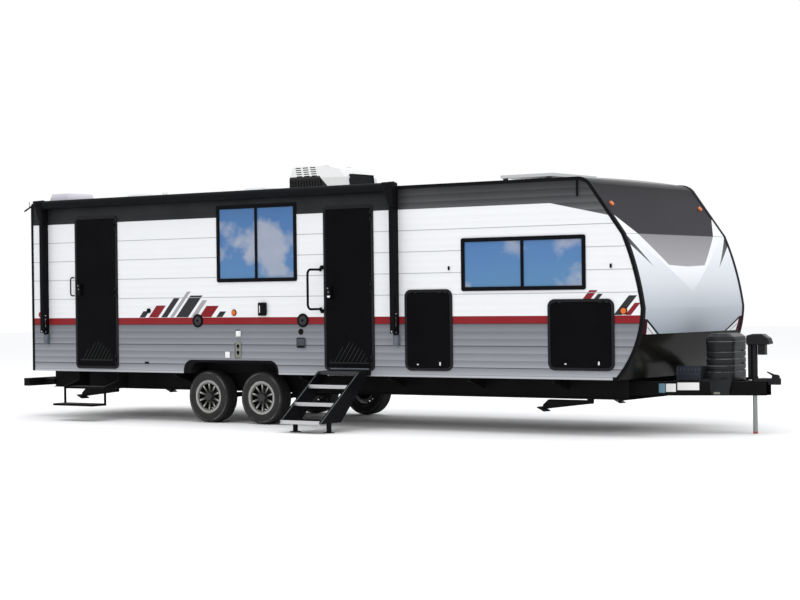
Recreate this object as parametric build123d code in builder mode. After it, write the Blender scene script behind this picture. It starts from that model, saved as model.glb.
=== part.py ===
from build123d import *
import os
from math import asin, cos, degrees, radians, sin, tan

os.makedirs("parts", exist_ok=True)

# Tandem-axle travel caravan, parked on its tongue jack.
# +X points to the hitch, +Y to the off side (the doors are on the -Y side), +Z up.
# The origin is on the ground, on the centreline, under the foot of the tongue jack.
# All sizes are in millimetres.

# ---- body shell ----
body_width = 2438.0
body_length = 9114.0  # rear wall to the foremost point of the nose
jack_ahead = 698.0  # tongue jack ahead of the nose
wall_thickness = 40.0
wall_bottom = 615.0
roof_edge = 2802.0
roof_crown = 20.0  # middle of the roof above its edges
roof_thickness = 60.0
floor_thickness = 75.0
cap_split = 1102.0  # height where the painted cap meets the black lower panel
roof_end_back = 790.0  # where the roof starts to fall, behind the nose
chin_back = 320.0  # lower end of the front wall behind the nose
# front wall from top to bottom: back from the nose, down from the roof edge
cap_outline = ((630.0, 67.0), (228.0, 616.0), (107.0, 939.0), (0.0, 1422.0), (126.0, 1912.0))
plank_grooves = (728.0, 972.0, 1219.0, 1554.0, 1799.0, 2045.0, 2290.0, 2533.0)
groove_width = 7.0
groove_cut = 2.5
trim_proud = 6.0
trim_width = 32.0  # corner trim across the side wall
trim_wrap = 40.0  # corner trim round the end

# ---- openings ----
# name: (rear edge from the rear wall, width, sill height, height, corner radius) of the frame
door_side_doors = {
    "rear_door": (799.0, 751.0, 655.0, 1961.0, 60.0),
    "entry_door": (4874.0, 729.0, 677.0, 1928.0, 60.0),
}
door_side_windows = {
    "galley_window": (3219.0, 1250.0, 1736.0, 938.0, 25.0),
    "bunk_window": (body_length - 2295.0, 1602.0, 1587.0, 594.0, 25.0),
}
door_side_hatches = {
    "hatch_middle": (body_length - 3077.0, 655.0, 687.0, 926.0, 85.0),
    "hatch_front": (body_length - 1173.0, 823.0, 712.0, 775.0, 85.0),
}
off_side_windows = {
    "dinette_window": (4300.0, 1250.0, 1587.0, 750.0, 25.0),
    "bed_window": (body_length - 2295.0, 900.0, 1587.0, 594.0, 25.0),
}
off_side_hatches = {
    "hatch_off": (body_length - 1173.0, 823.0, 712.0, 775.0, 85.0),
}
# name: (distance of the near edge off the centreline, width, sill height, height, radius)
rear_windows = {"rear_window": (-450.0, 900.0, 1736.0, 526.0, 25.0)}

frame_proud = 12.0
frame_lap = 25.0  # flange over the wall
sleeve = 8.0  # wall of the frame's sleeve in the opening
window_border = 45.0  # visible width of a window frame
mullion_width = 34.0
glass_thickness = 6.0
leaf_gap = 6.0
leaf_thickness = 38.0

# ---- doors and hatches ----
lock_inset = 60.0
lock_heights = {"rear_door": 1674.0, "entry_door": 1591.0}
lock_size = (60.0, 150.0)
lock_proud = 28.0
latch_inset = 60.0
latch_size = (70.0, 40.0)
latch_proud = 10.0

# ---- wheel arches, axles and wheels ----
arch_start = 2756.0
arch_width = 1387.0
arch_top = 778.0
arch_radius = 150.0
arch_box = 15.0  # wall of the box over the tyres
axle_stations = {"rear": 2983.0, "front": 3832.0}
tyre_diameter = 650.0
tyre_width = 205.0
tyre_inset = 69.0  # tyres inside the side walls
rim_diameter = 396.0
rim_width = 160.0
axle_diameter = 60.0
spindle_clearance = 0.3
rim_wall = 10.0
disc_offset = 45.0  # back of the disc outside the wheel's middle plane
disc_thickness = 22.0
hub_radius = 55.0
hub_cap = 18.0
spoke_count = 10
spoke_inner_width = 26.0
spoke_outer_width = 17.0
pocket_inner = 74.0  # windows between the spokes, from this radius
pocket_outer = 165.0
pocket_corner = 5.0
disc_rise = 16.0  # the disc's dish from hub to rim
lip_proud = 9.0
lip_width = 16.0
tread_half = 78.0
drum_diameter = 250.0
drum_width = 60.0
backing_gap = 1.0
backing_plate = 8.0
spindle_length = 105.0
spring_width = 45.0
spring_arch = 45.0  # rise of the eyes over the middle of the pack
spring_leaf = 10.0
spring_pack = 40.0
eye_radius = 14.0
equalizer_length = 200.0
hanger_top = 110.0

# ---- chassis ----
rail_inset = 349.0  # middles of the rails inside the side walls
rail_flange = 76.0
rail_bottom = 388.0
rail_web = 8.0
crossmember_height = 90.0
crossmember_width = 50.0
crossmember_stations = (60.0, 1250.0, 2450.0, 4450.0, 5650.0, body_length - 2264.0, body_length - 1414.0)
outrigger_stations = (2450.0, 4450.0, 5750.0, body_length - 2264.0, body_length - 1164.0)
outrigger_width = 40.0
outrigger_tip = 40.0
outrigger_depth = 130.0
rail_setback = 60.0  # rails short of the rear wall and of the chin
beam_height = 152.0
beam_width = 60.0
beam_web = 10.0
beam_bottom = 420.0
beam_angle = 22.0  # each beam off the centreline
beam_tip_x = 150.0
beam_tip_y = 34.0
bumper_arm = 60.0
bumper_size = 102.0
bumper_inset = 40.0  # its ends inside the side walls
bumper_gap = 120.0  # bumper behind the rear wall
bumper_top = 510.0

# ---- tongue ----
crossbar_stations = (-800.0, -530.0, -470.0, -240.0)
crossbar_width = 40.0
crossbar_thickness = 8.0
gas_x = -337.0
gas_length = 560.0
gas_depth = 325.0
gas_base = 620.0  # lower end of the straight tub, over its tapered foot
gas_foot_taper = 9.0
gas_lid_low = 978.0
gas_lid_lap = 5.0
gas_shoulder = 1030.0
gas_crown = 1056.0  # where the lid bends over to its flat top
gas_top = 1092.0
gas_edge_taper = 22.0
gas_lid_taper = 56.0
gas_grooves = (690.0, 757.0, 824.0, 891.0)
gas_split_grooves = (757.0, 891.0)  # broken by a smooth bridge at each quarter
gas_bridge = 60.0
groove_height = 18.0
groove_depth = 10.0
apron_thickness = 10.0
apron_top = 290.0
apron_bottom = 190.0
apron_low = 450.0
apron_rear = -345.0
battery_x = -815.0
battery_y = -255.0
battery_length = 290.0
battery_width = 190.0
battery_tub = 105.0
battery_lid = 40.0
battery_ribs = (50.0, 98.0, 145.0, 192.0, 240.0)  # along the box
jack_tube_low = 440.0
jack_bore = 500.0
jack_plate_x = 20.0
jack_plate_y = 130.0
jack_head_rear = -75.0
jack_head_front = 200.0
jack_head_width = 124.0
jack_head_edge = 14.0  # sloped rim of the head's sides
jack_head_round = 10.0
jack_motor_low = 858.0
jack_motor_x = 92.0
leg_wall = 5.0
leg_foot = 8.0
coupler_rear = 40.0
coupler_low = 536.0
coupler_top = 605.0
neck_length = 85.0
ball_housing = 42.0
ball_socket = 36.0
latch_height = 30.0
lever_reach = 95.0
lever_rise = 42.0
lever_width = 24.0
jack_tube = 64.0
jack_leg = 50.0
leg_clearance = 0.3
leg_length = 520.0
jack_head_bottom = 965.0
jack_head_top = 1085.0
ball_radius = 29.7
coupler_tip = 303.0

# ---- moving and swinging pieces ----
knuckle_radius = 7.0
knuckle_length = 40.0
knuckle_gap = 0.5
plate_thickness = 3.0
plate_width = 26.0
axis_proud = 8.0  # hinge axis outside the faces that it joins
pin_radius = 8.0
pin_clearance = 0.3
pin_side_gap = 1.0
side_gap = 5.0
ear_thickness = 8.0
ear_radius = 22.0

# ---- stabilizers ----
stabilizer_stations = (1160.0, body_length - 852.0)
stabilizer_z = 355.0
stabilizer_length = 600.0
stabilizer_width = 50.0
stabilizer_depth = 34.0
stabilizer_top = 20.0  # level upper edge of the arm over its pin, at rest
stabilizer_wall = 6.0
stabilizer_solid = 70.0  # solid length at each end of the hollow arm
stabilizer_droop = 7.0  # below level at rest
stabilizer_foot_angle = 33.0

# ---- entry steps ----
step_width = 574.0  # between the side plates
step_plate = 8.0
step_pivot_out = 41.0
step_pivot_round = 22.0
landing_depth = 189.0
first_run = 199.0
first_rise = 150.0
step_run = 265.0
step_rise = 190.5
step_count = 3
tread_depth = 240.0
tread_thickness = 28.0
nosing_thickness = 6.0
nosing_height = 42.0

# ---- rear step ----
rear_step_width = 680.0
rear_pivot_out = 240.0
rear_pivot_z = 420.0
rear_tread_low = 195.0
rear_tread_depth = 222.0

# ---- grab handles ----
handle_setback = 32.0  # handles behind their door frames
handle_low = 1379.0
handle_high = 1887.0
handle_standoff = 28.0
handle_reach = 250.0
handle_tube = 28.0
handle_bend = 60.0
barrel_radius = 15.0
barrel_height = 42.0
rear_handle_low = 1598.0
rear_handle_high = 1833.0
rear_handle_reach = 62.0
rear_handle_bend = 30.0
rear_handle_tube = 18.0

# ---- awning ----
awning_stations = (246.0, 5896.0)
arm_width = 58.0
arm_depth = 105.0
arm_low = 1115.0
arm_foot = 975.0
roll_out = 82.0
roll_z = 2790.0
roll_diameter = 112.0
roll_cap = 132.0

# ---- roof equipment ----
ac_station = 4110.0
ac_length = 895.0
ac_width = 660.0
ac_height = 365.0
ac_side = 198.0  # height of the upright sides, under the leaning ones
ac_top_width = 500.0
ac_corner = 36.0
louvre_depth = 8.0
louvre_pitch = 44.0
louvre_count = 12
louvre_lean = 42.0
slot_size = (88.0, 15.0)
slot_pitch = (116.0, 30.0)
slot_grid = (3, 5)
slot_shift = 16.0  # each row stands this far in front of the row over it
inlet_half = 256.0
inlet_depth = 60.0
inlet_fins = 4
vent_size = 340.0
vent_curb = 55.0
vent_hinge_out = 20.0  # hinge axis in front of the curb and over it
vent_hinge_up = 9.0
vent_barrel = 8.0
vent_pin = 4.0
vent_ear = 6.0
vent_ear_y = 60.0
vent_places = ((880.0, 0.0), (2930.0, 0.0))  # station, Y
skylight_station = 330.0
skylight_y = -790.0
skylight_length = 400.0
skylight_width = 560.0
skylight_height = 150.0
pipe_places = ((1900.0, -700.0), (body_length - 2714.0, 600.0))
solar_station = body_length - 1868.0
solar_length = 698.0
solar_width = 1000.0
solar_thickness = 35.0
solar_feet = 58.0
solar_frame = 28.0
solar_sink = 4.0  # cells under the top of their frame

# ---- lamps and wall fittings ----
lamp_size = (62.0, 62.0)
lamp_proud = 16.0
marker_y = 1050.0
marker_drop = 293.0  # markers on the cap, under the roof edge
tail_size = (90.0, 190.0)
door_side_lamps = ((154.0, 1353.0), (3480.0, 1363.0), (body_length - 234.0, 1356.0))  # station, height
off_side_lamps = ((154.0, 1353.0), (3480.0, 1363.0), (body_length - 234.0, 1356.0))
rear_lamps = ((-980.0, 900.0), (980.0, 900.0))  # Y, height
# wall, station, height, width, height of the cover, corner radius, proud
fittings = (
    ("door", 2896.0, 1266.0, 165.0, 165.0, 82.0, 10.0),
    ("door", 4550.0, 1266.0, 165.0, 165.0, 82.0, 10.0),
    ("door", 3938.0, 1409.0, 115.0, 150.0, 12.0, 28.0),
    ("door", 4517.0, 1131.0, 70.0, 70.0, 34.0, 8.0),
    ("door", 4515.0, 1000.0, 120.0, 120.0, 10.0, 10.0),
    ("door", 3540.0, 1118.0, 70.0, 70.0, 6.0, 8.0),
    ("door", 3536.0, 905.0, 90.0, 190.0, 10.0, 8.0),
    ("door", 3376.0, 861.0, 60.0, 60.0, 6.0, 8.0),
    ("door", 2079.0, 1395.0, 60.0, 60.0, 29.0, 14.0),
    ("door", 2034.0, 737.0, 62.0, 26.0, 5.0, 10.0),
    ("door", body_length - 2463.0, 1848.0, 20.0, 46.0, 9.0, 14.0),
    ("door", body_length - 384.0, 1837.0, 20.0, 46.0, 9.0, 14.0),
    ("door", body_length - 784.0, 2681.0, 14.0, 172.0, 5.0, 22.0),
    ("off", body_length - 784.0, 2681.0, 14.0, 172.0, 5.0, 22.0),
    ("off", 900.0, 850.0, 320.0, 320.0, 14.0, 12.0),
    ("off", 2000.0, 930.0, 520.0, 480.0, 14.0, 12.0),
    ("off", 2000.0, 1600.0, 420.0, 300.0, 14.0, 12.0),
)

# ---------------------------------------------------------------------- helpers
side_y = body_width / 2
inner_y = side_y - wall_thickness
tyre_outer_y = side_y - tyre_inset
rail_y = side_y - rail_inset
nose_x = -jack_ahead
rear_x = nose_x - body_length


def fore(distance):
    # X of a station measured forward from the rear wall
    return rear_x + distance


door_side = Plane.XZ.offset(side_y)  # (X, Z) on the outer face of the door-side wall
off_side = Plane.XZ.offset(-side_y)
rear_face = Plane.YZ.offset(rear_x)
outward = {"door": 1, "off": -1, "rear": -1}  # sign along the plane's normal
wall_planes = {"door": door_side, "off": off_side, "rear": rear_face}


def roof_crown_cut():
    # space of the crowned roof, taken away from what is seated on it
    with BuildPart() as piece:
        with BuildSketch(Plane.YZ.offset(rear_x)):
            with BuildLine():
                Line((inner_y, roof_edge), (-inner_y, roof_edge))
                ThreePointArc((-inner_y, roof_edge), (0, roof_edge + roof_crown), (inner_y, roof_edge))
            make_face()
        extrude(amount=body_length)
    return piece.part


def side_plane(y):
    # (X, Z) sketches at this Y; they extrude towards -Y
    return Plane.XZ.offset(-y)


def opening_centre(opening, wall):
    # middle of an opening in the wall plane's own coordinates
    start, width, sill, height, radius = opening
    edge = start if wall == "rear" else fore(start)
    return (edge + width / 2, sill + height / 2)


def wall_slab(wall, centre, size, radius, inner, outer):
    # rounded panel parallel to a wall, from `inner` to `outer` outside the wall's face
    sign = outward[wall]
    with BuildPart() as piece:
        with BuildSketch(wall_planes[wall].offset(sign * inner)):
            with Locations(centre):
                RectangleRounded(*size, radius)
        extrude(amount=sign * (outer - inner))
    return piece.part


def wall_ring(wall, centre, size, radius, border, inner, outer):
    # rounded rectangular frame parallel to a wall
    sign = outward[wall]
    with BuildPart() as piece:
        with BuildSketch(wall_planes[wall].offset(sign * inner)):
            with Locations(centre):
                RectangleRounded(*size, radius)
                clear = (size[0] - 2 * border, size[1] - 2 * border)
                RectangleRounded(*clear, max(radius - border, 4), mode=Mode.SUBTRACT)
        extrude(amount=sign * (outer - inner))
    return piece.part


def knuckle(axis_plane, start, length, side):
    # hinge barrel on an axis plane's normal, with its plate towards `side` of local X
    with BuildPart() as piece:
        with BuildSketch(axis_plane.offset(start)):
            Circle(knuckle_radius)
            with Locations((side * plate_width / 2, axis_proud - plate_thickness / 2)):
                Rectangle(plate_width, plate_thickness)
        extrude(amount=length)
    return piece.part


def box_between(low, high, mode=Mode.ADD):
    # box from its lowest to its highest corner
    size = [h - l for l, h in zip(low, high)]
    middle = [(l + h) / 2 for l, h in zip(low, high)]
    with Locations(tuple(middle)):
        Box(*size, mode=mode)


# ------------------------------------------------------------- body silhouette
roof_end = (nose_x - roof_end_back, roof_edge)
brow, cap_bend, cheek, nose, jowl = ((nose_x - back, roof_edge - drop) for back, drop in cap_outline)
chin = (nose_x - chin_back, wall_bottom)
with BuildSketch() as silhouette:
    with BuildLine():
        Line((rear_x, wall_bottom), chin)
        ThreePointArc(chin, jowl, nose)
        ThreePointArc(nose, cheek, cap_bend)
        Line(cap_bend, brow)
        TangentArc(roof_end, brow, tangent=(1, 0))
        Line(roof_end, (rear_x, roof_edge))
        Line((rear_x, roof_edge), (rear_x, wall_bottom))
    make_face()


def outline(inset):
    # body silhouette set in by `inset` all round, or out where that is negative
    with BuildSketch() as sketch:
        add(silhouette.sketch)
        if inset:
            offset(amount=-inset, kind=Kind.INTERSECTION)
    return sketch.sketch


arch_centre = (fore(arch_start + arch_width / 2), wall_bottom)
arch_size = (arch_width, 2 * (arch_top - wall_bottom))


def side_wall_face(wall, openings):
    # side wall with the openings of its doors, windows and hatches, and its wheel arch
    with BuildSketch(wall_planes[wall]) as sketch:
        add(outline(0))
        for opening in openings:
            start, width, sill, height, radius = opening
            with Locations(opening_centre(opening, wall)):
                RectangleRounded(
                    width - 2 * frame_lap,
                    height - 2 * frame_lap,
                    max(radius - frame_lap, 4),
                    mode=Mode.SUBTRACT,
                )
        with Locations(arch_centre):
            RectangleRounded(*arch_size, arch_radius, mode=Mode.SUBTRACT)
    return sketch.sketch


# ---------------------------------------------------------------------- the body
def cut_plank_grooves(wall):
    # level grooves between the planks of the siding, from end to end of a wall
    sign = outward[wall]
    middle = 0 if wall == "rear" else (rear_x + nose_x) / 2
    with BuildSketch(wall_planes[wall].offset(-sign * groove_cut)) as sketch:
        for z in plank_grooves:
            with Locations((middle, z)):
                Rectangle(body_length, groove_width)
    return extrude(sketch.sketch, amount=sign * groove_cut, mode=Mode.PRIVATE)


door_side_openings = [
    *door_side_doors.values(),
    *door_side_windows.values(),
    *door_side_hatches.values(),
]
off_side_openings = [*off_side_windows.values(), *off_side_hatches.values()]
with BuildPart() as wall_door_side:
    extrude(side_wall_face("door", door_side_openings), amount=-outward["door"] * wall_thickness)
    add(cut_plank_grooves("door"), mode=Mode.SUBTRACT)
wall_door_side.part.label = "wall_door_side"
export_step(wall_door_side.part, "parts/wall_door_side.step")

with BuildPart() as wall_off_side:
    extrude(side_wall_face("off", off_side_openings), amount=-outward["off"] * wall_thickness)
    add(cut_plank_grooves("off"), mode=Mode.SUBTRACT)
wall_off_side.part.label = "wall_off_side"
export_step(wall_off_side.part, "parts/wall_off_side.step")

roof_under = roof_edge - roof_thickness
with BuildPart() as wall_rear:
    with BuildSketch(rear_face):
        with Locations((0, (wall_bottom + roof_under) / 2)):
            Rectangle(2 * inner_y, roof_under - wall_bottom)
        for opening in rear_windows.values():
            start, width, sill, height, radius = opening
            with Locations(opening_centre(opening, "rear")):
                Rectangle(width - 2 * frame_lap, height - 2 * frame_lap, mode=Mode.SUBTRACT)
    extrude(amount=wall_thickness)
    add(cut_plank_grooves("rear"), mode=Mode.SUBTRACT)
wall_rear.part.label = "wall_rear"
export_step(wall_rear.part, "parts/wall_rear.step")

with BuildPart() as roof:
    with BuildSketch(Plane.YZ.offset(rear_x)):
        with BuildLine():
            Polyline(
                (-inner_y, roof_edge), (-inner_y, roof_under), (inner_y, roof_under), (inner_y, roof_edge)
            )
            ThreePointArc((inner_y, roof_edge), (0, roof_edge + roof_crown), (-inner_y, roof_edge))
        make_face()
    extrude(amount=roof_end[0] - rear_x)
roof.part.label = "roof"
export_step(roof.part, "parts/roof.step")


# The curved front wall between the side walls, in two panels
floor_front = chin[0] - wall_thickness
with BuildPart() as front_cap:
    with BuildSketch(side_plane(inner_y)):
        add(outline(0))
        add(outline(wall_thickness), mode=Mode.SUBTRACT)
        with Locations((nose_x, cap_split)):
            Rectangle(nose_x - roof_end[0], roof_edge, align=(Align.MAX, Align.MIN), mode=Mode.INTERSECT)
    extrude(amount=2 * inner_y)
front_cap.part.label = "front_cap"
export_step(front_cap.part, "parts/front_cap.step")

with BuildPart() as front_panel:
    with BuildSketch(side_plane(inner_y)):
        add(outline(0))
        add(outline(wall_thickness), mode=Mode.SUBTRACT)
        with Locations((nose_x, cap_split)):
            Rectangle(nose_x - floor_front, roof_edge, align=(Align.MAX, Align.MAX), mode=Mode.INTERSECT)
    extrude(amount=2 * inner_y)
front_panel.part.label = "front_panel"
export_step(front_panel.part, "parts/front_panel.step")

# Floor with the boxes over the tyres
floor_top = wall_bottom + floor_thickness
arch_inner_y = tyre_outer_y - tyre_width - 55
with BuildPart() as floor:
    box_between((rear_x + wall_thickness, -inner_y, wall_bottom), (floor_front, inner_y, floor_top))
    arch_low_x = fore(arch_start)
    arch_high_x = arch_low_x + arch_width
    for sign in (-1, 1):
        outer_low, outer_high = sorted((sign * (arch_inner_y - arch_box), sign * inner_y))
        box_between(
            (arch_low_x - arch_box, outer_low, wall_bottom),
            (arch_high_x + arch_box, outer_high, arch_top + arch_box),
        )
    for sign in (-1, 1):
        inner_low, inner_high = sorted((sign * arch_inner_y, sign * inner_y))
        box_between(
            (arch_low_x, inner_low, wall_bottom - 1),
            (arch_high_x, inner_high, arch_top),
            mode=Mode.SUBTRACT,
        )
floor.part.label = "floor"
export_step(floor.part, "parts/floor.step")

# Black mouldings round each side wall, over its corners with the roof and the ends
with BuildPart() as edge_trims:
    for start_y in (side_y + trim_proud, trim_wrap - side_y):
        with BuildSketch(side_plane(start_y)):
            add(outline(-trim_proud))
        extrude(amount=trim_wrap + trim_proud)
    with BuildSketch(side_plane(side_y + trim_proud)):
        add(outline(trim_width))
    extrude(amount=body_width + 2 * trim_proud, mode=Mode.SUBTRACT)
    with BuildSketch(side_plane(side_y)):
        add(outline(0))
    extrude(amount=body_width, mode=Mode.SUBTRACT)
    box_between(
        (rear_x - trim_proud, -side_y - trim_proud, 0),
        (nose_x + trim_proud, side_y + trim_proud, wall_bottom),
        mode=Mode.SUBTRACT,
    )
edge_trims.part.label = "edge_trims"
export_step(edge_trims.part, "parts/edge_trims.step")

# ---------------------------------------------------- windows, doors and hatches
# Window frames and panes; a wide pane is parted by a mullion
windows = [("door", opening) for opening in door_side_windows.values()]
windows += [("off", opening) for opening in off_side_windows.values()]
windows += [("rear", opening) for opening in rear_windows.values()]
with BuildPart() as window_frames:
    for wall, opening in windows:
        start, width, sill, height, radius = opening
        centre = opening_centre(opening, wall)
        hole = (width - 2 * frame_lap, height - 2 * frame_lap)
        add(wall_ring(wall, centre, (width, height), radius, window_border, 0, frame_proud))
        add(wall_ring(wall, centre, hole, max(radius - frame_lap, 4), sleeve, -wall_thickness, 0))
        bar = (mullion_width, height - 2 * window_border + 2)
        add(wall_slab(wall, centre, bar, 1, 0, frame_proud))
window_frames.part.label = "window_frames"
export_step(window_frames.part, "parts/window_frames.step")

with BuildPart() as window_glass:
    for wall, opening in windows:
        start, width, sill, height, radius = opening
        lap = 2 * (frame_lap + sleeve)
        pane = (width - lap, height - lap)
        add(wall_slab(wall, opening_centre(opening, wall), pane, 4, -glass_thickness, 0))
window_glass.part.label = "window_glass"
export_step(window_glass.part, "parts/window_glass.step")

# Door and hatch leaves sit flush with their frames and turn on barrels outside both
leaf_inset = frame_lap + sleeve + leaf_gap
axis_shift = frame_proud + axis_proud  # hinge axis outside the wall's face


def leaf_size(opening):
    start, width, sill, height, radius = opening
    return (width - 2 * leaf_inset, height - 2 * leaf_inset)


def door_axis(opening):
    # vertical hinge axis in the gap at the front edge of a door-side door
    start, width, sill, height, radius = opening
    x = fore(start) + width - leaf_inset + leaf_gap / 2
    return Plane(origin=(x, -side_y - axis_shift, sill), z_dir=(0, 0, 1), x_dir=(1, 0, 0))


def hatch_axis(opening, wall):
    # level hinge axis in the gap over a hatch; local X is up, local -Y is outward
    start, width, sill, height, radius = opening
    sign = outward[wall]
    z = sill + height - leaf_inset + leaf_gap / 2
    middle = fore(start) + width / 2
    origin = (middle, -sign * (side_y + axis_shift), z)
    return Plane(origin=origin, z_dir=(-sign, 0, 0), x_dir=(0, 0, 1))


def hinge_starts(span, count):
    # starts of evenly spaced three-barrel hinges along an axis
    hinge = 3 * knuckle_length + 2 * knuckle_gap
    first = hinge / 2
    step = (span - 2 * hinge) / (count - 1)
    return [first + step * index for index in range(count)]


def frame_hinges(axis, starts):
    # outer two barrels of each hinge, with plates on the frame
    for start in starts:
        for barrel in (0, 2):
            add(knuckle(axis, start + barrel * (knuckle_length + knuckle_gap), knuckle_length, 1))


def leaf_hinges(axis, starts):
    # middle barrel of each hinge, with its plate on the leaf
    for start in starts:
        add(knuckle(axis, start + knuckle_length + knuckle_gap, knuckle_length, -1))


door_hinges = 3
hatch_hinges = 2
hatches = [("door", opening) for opening in door_side_hatches.values()]
hatches += [("off", opening) for opening in off_side_hatches.values()]
with BuildPart() as door_frames:
    for opening in door_side_doors.values():
        start, width, sill, height, radius = opening
        centre = opening_centre(opening, "door")
        hole = (width - 2 * frame_lap, height - 2 * frame_lap)
        border = frame_lap + sleeve
        add(wall_ring("door", centre, (width, height), radius, border, 0, frame_proud))
        add(wall_ring("door", centre, hole, radius - frame_lap, sleeve, -wall_thickness, 0))
        frame_hinges(door_axis(opening), hinge_starts(height, door_hinges))
door_frames.part.label = "door_frames"
export_step(door_frames.part, "parts/door_frames.step")

with BuildPart() as hatch_frames:
    for wall, opening in hatches:
        start, width, sill, height, radius = opening
        centre = opening_centre(opening, wall)
        hole = (width - 2 * frame_lap, height - 2 * frame_lap)
        border = frame_lap + sleeve
        add(wall_ring(wall, centre, (width, height), radius, border, 0, frame_proud))
        add(wall_ring(wall, centre, hole, radius - frame_lap, sleeve, -wall_thickness, 0))
        starts = [start - width / 2 for start in hinge_starts(width, hatch_hinges)]
        frame_hinges(hatch_axis(opening, wall), starts)
hatch_frames.part.label = "hatch_frames"
export_step(hatch_frames.part, "parts/hatch_frames.step")

for name, opening in door_side_doors.items():
    start, width, sill, height, radius = opening
    lock_centre = (fore(start) + leaf_inset + lock_inset, lock_heights[name])
    with BuildPart() as door:
        size = leaf_size(opening)
        inner_face = frame_proud - leaf_thickness
        leaf_radius = radius - leaf_inset
        add(wall_slab("door", opening_centre(opening, "door"), size, leaf_radius, inner_face, frame_proud))
        add(wall_slab("door", lock_centre, lock_size, 10, frame_proud, frame_proud + lock_proud))
        leaf_hinges(door_axis(opening), hinge_starts(height, door_hinges))
    door.part.label = name
    export_step(door.part, f"parts/{name}.step")

for wall, side_hatches in (("door", door_side_hatches), ("off", off_side_hatches)):
    for name, opening in side_hatches.items():
        start, width, sill, height, radius = opening
        centre = opening_centre(opening, wall)
        with BuildPart() as hatch:
            size = leaf_size(opening)
            inner_face = frame_proud - leaf_thickness
            add(wall_slab(wall, centre, size, radius - leaf_inset, inner_face, frame_proud))
            for side in (-1, 1):
                latch = (centre[0] + side * width / 4, sill + leaf_inset + latch_inset)
                add(wall_slab(wall, latch, latch_size, 5, frame_proud, frame_proud + latch_proud))
            starts = [start - width / 2 for start in hinge_starts(width, hatch_hinges)]
            leaf_hinges(hatch_axis(opening, wall), starts)
        hatch.part.label = name
        export_step(hatch.part, f"parts/{name}.step")

# -------------------------------------------------------------------- the chassis
rail_top = wall_bottom
with BuildPart() as main_rails:
    rail_start = rear_x + rail_setback
    rail_end = chin[0] - rail_setback
    for sign in (-1, 1):
        with BuildSketch(Plane.YZ.offset(rail_start)):
            with Locations((sign * rail_y, (rail_bottom + rail_top) / 2)):
                Rectangle(rail_web, rail_top - rail_bottom)
            for edge, align in ((rail_bottom, Align.MIN), (rail_top, Align.MAX)):
                with Locations((sign * rail_y, edge)):
                    Rectangle(rail_flange, rail_web, align=(Align.CENTER, align))
        extrude(amount=rail_end - rail_start)
main_rails.part.label = "main_rails"
export_step(main_rails.part, "parts/main_rails.step")

rail_reach = rail_y - rail_web / 2
outrigger_root = rail_y + rail_web / 2
with BuildPart() as crossmembers:
    for station in crossmember_stations:
        x = fore(station)
        top = rail_top - rail_web
        box_between(
            (x, -rail_reach, top - crossmember_height), (x + crossmember_width, rail_reach, top)
        )
    # outriggers taper from the rails out to the side walls
    for station in outrigger_stations:
        for sign in (-1, 1):
            with BuildSketch(Plane.YZ.offset(fore(station))):
                with BuildLine():
                    Polyline(
                        (sign * outrigger_root, rail_top - rail_web),
                        (sign * (rail_y + rail_flange / 2), rail_top - rail_web),
                        (sign * (rail_y + rail_flange / 2), rail_top),
                        (sign * inner_y, rail_top),
                        (sign * inner_y, rail_top - outrigger_tip),
                        (sign * outrigger_root, rail_top - outrigger_depth),
                        close=True,
                    )
                make_face()
            extrude(amount=outrigger_width)
crossmembers.part.label = "crossmembers"
export_step(crossmembers.part, "parts/crossmembers.step")

def beam_offset(x):
    # distance of a tongue beam's middle line from the centreline at this X
    return beam_tip_y + (beam_tip_x - x) * tan(radians(beam_angle))


# Tongue: two channel beams meet the rails' webs and run to the coupler, open side inwards,
# with flat bars across them under what the tongue carries
tray_z = beam_bottom + beam_height
beam_half = beam_width / 2 / cos(radians(beam_angle))
beam_length = (rail_reach - beam_tip_y) / sin(radians(beam_angle)) + beam_width
with BuildPart() as tongue_beams:
    for sign in (-1, 1):
        along = Vector(-cos(radians(beam_angle)), sign * sin(radians(beam_angle)), 0)
        beam_plane = Plane(
            origin=(beam_tip_x, sign * beam_tip_y, beam_bottom),
            x_dir=Vector(0, 0, 1).cross(along),
            z_dir=along,
        )
        with BuildSketch(beam_plane):
            with Locations((0, beam_height / 2)):
                Rectangle(beam_width, beam_height)
            with Locations((sign * beam_web / 2, beam_height / 2)):
                Rectangle(beam_width - beam_web, beam_height - 2 * beam_web, mode=Mode.SUBTRACT)
        extrude(amount=beam_length)
    for sign in (-1, 1):
        low_y, high_y = sorted((sign * rail_reach, sign * body_width))
        box_between((beam_tip_x - 2 * beam_length, low_y, 0), (beam_tip_x, high_y, rail_top), Mode.SUBTRACT)
    for x in crossbar_stations:
        reach = beam_offset(x + crossbar_width)
        box_between((x, -reach, tray_z), (x + crossbar_width, reach, tray_z + crossbar_thickness))
tongue_beams.part.label = "tongue_beams"
export_step(tongue_beams.part, "parts/tongue_beams.step")

# Square bumper with two arms from the ends of the rails
bumper_half = side_y - bumper_inset
with BuildPart() as rear_bumper:
    bumper_front = rear_x - bumper_gap
    bumper_low = bumper_top - bumper_size
    box_between(
        (bumper_front - bumper_size, -bumper_half, bumper_low),
        (bumper_front, bumper_half, bumper_top),
    )
    for sign in (-1, 1):
        low_y, high_y = sorted((sign * (rail_y - bumper_arm / 2), sign * (rail_y + bumper_arm / 2)))
        box_between((bumper_front, low_y, bumper_low + 10), (rear_x + rail_setback, high_y, bumper_top - 10))
rear_bumper.part.label = "rear_bumper"
export_step(rear_bumper.part, "parts/rear_bumper.step")

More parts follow.
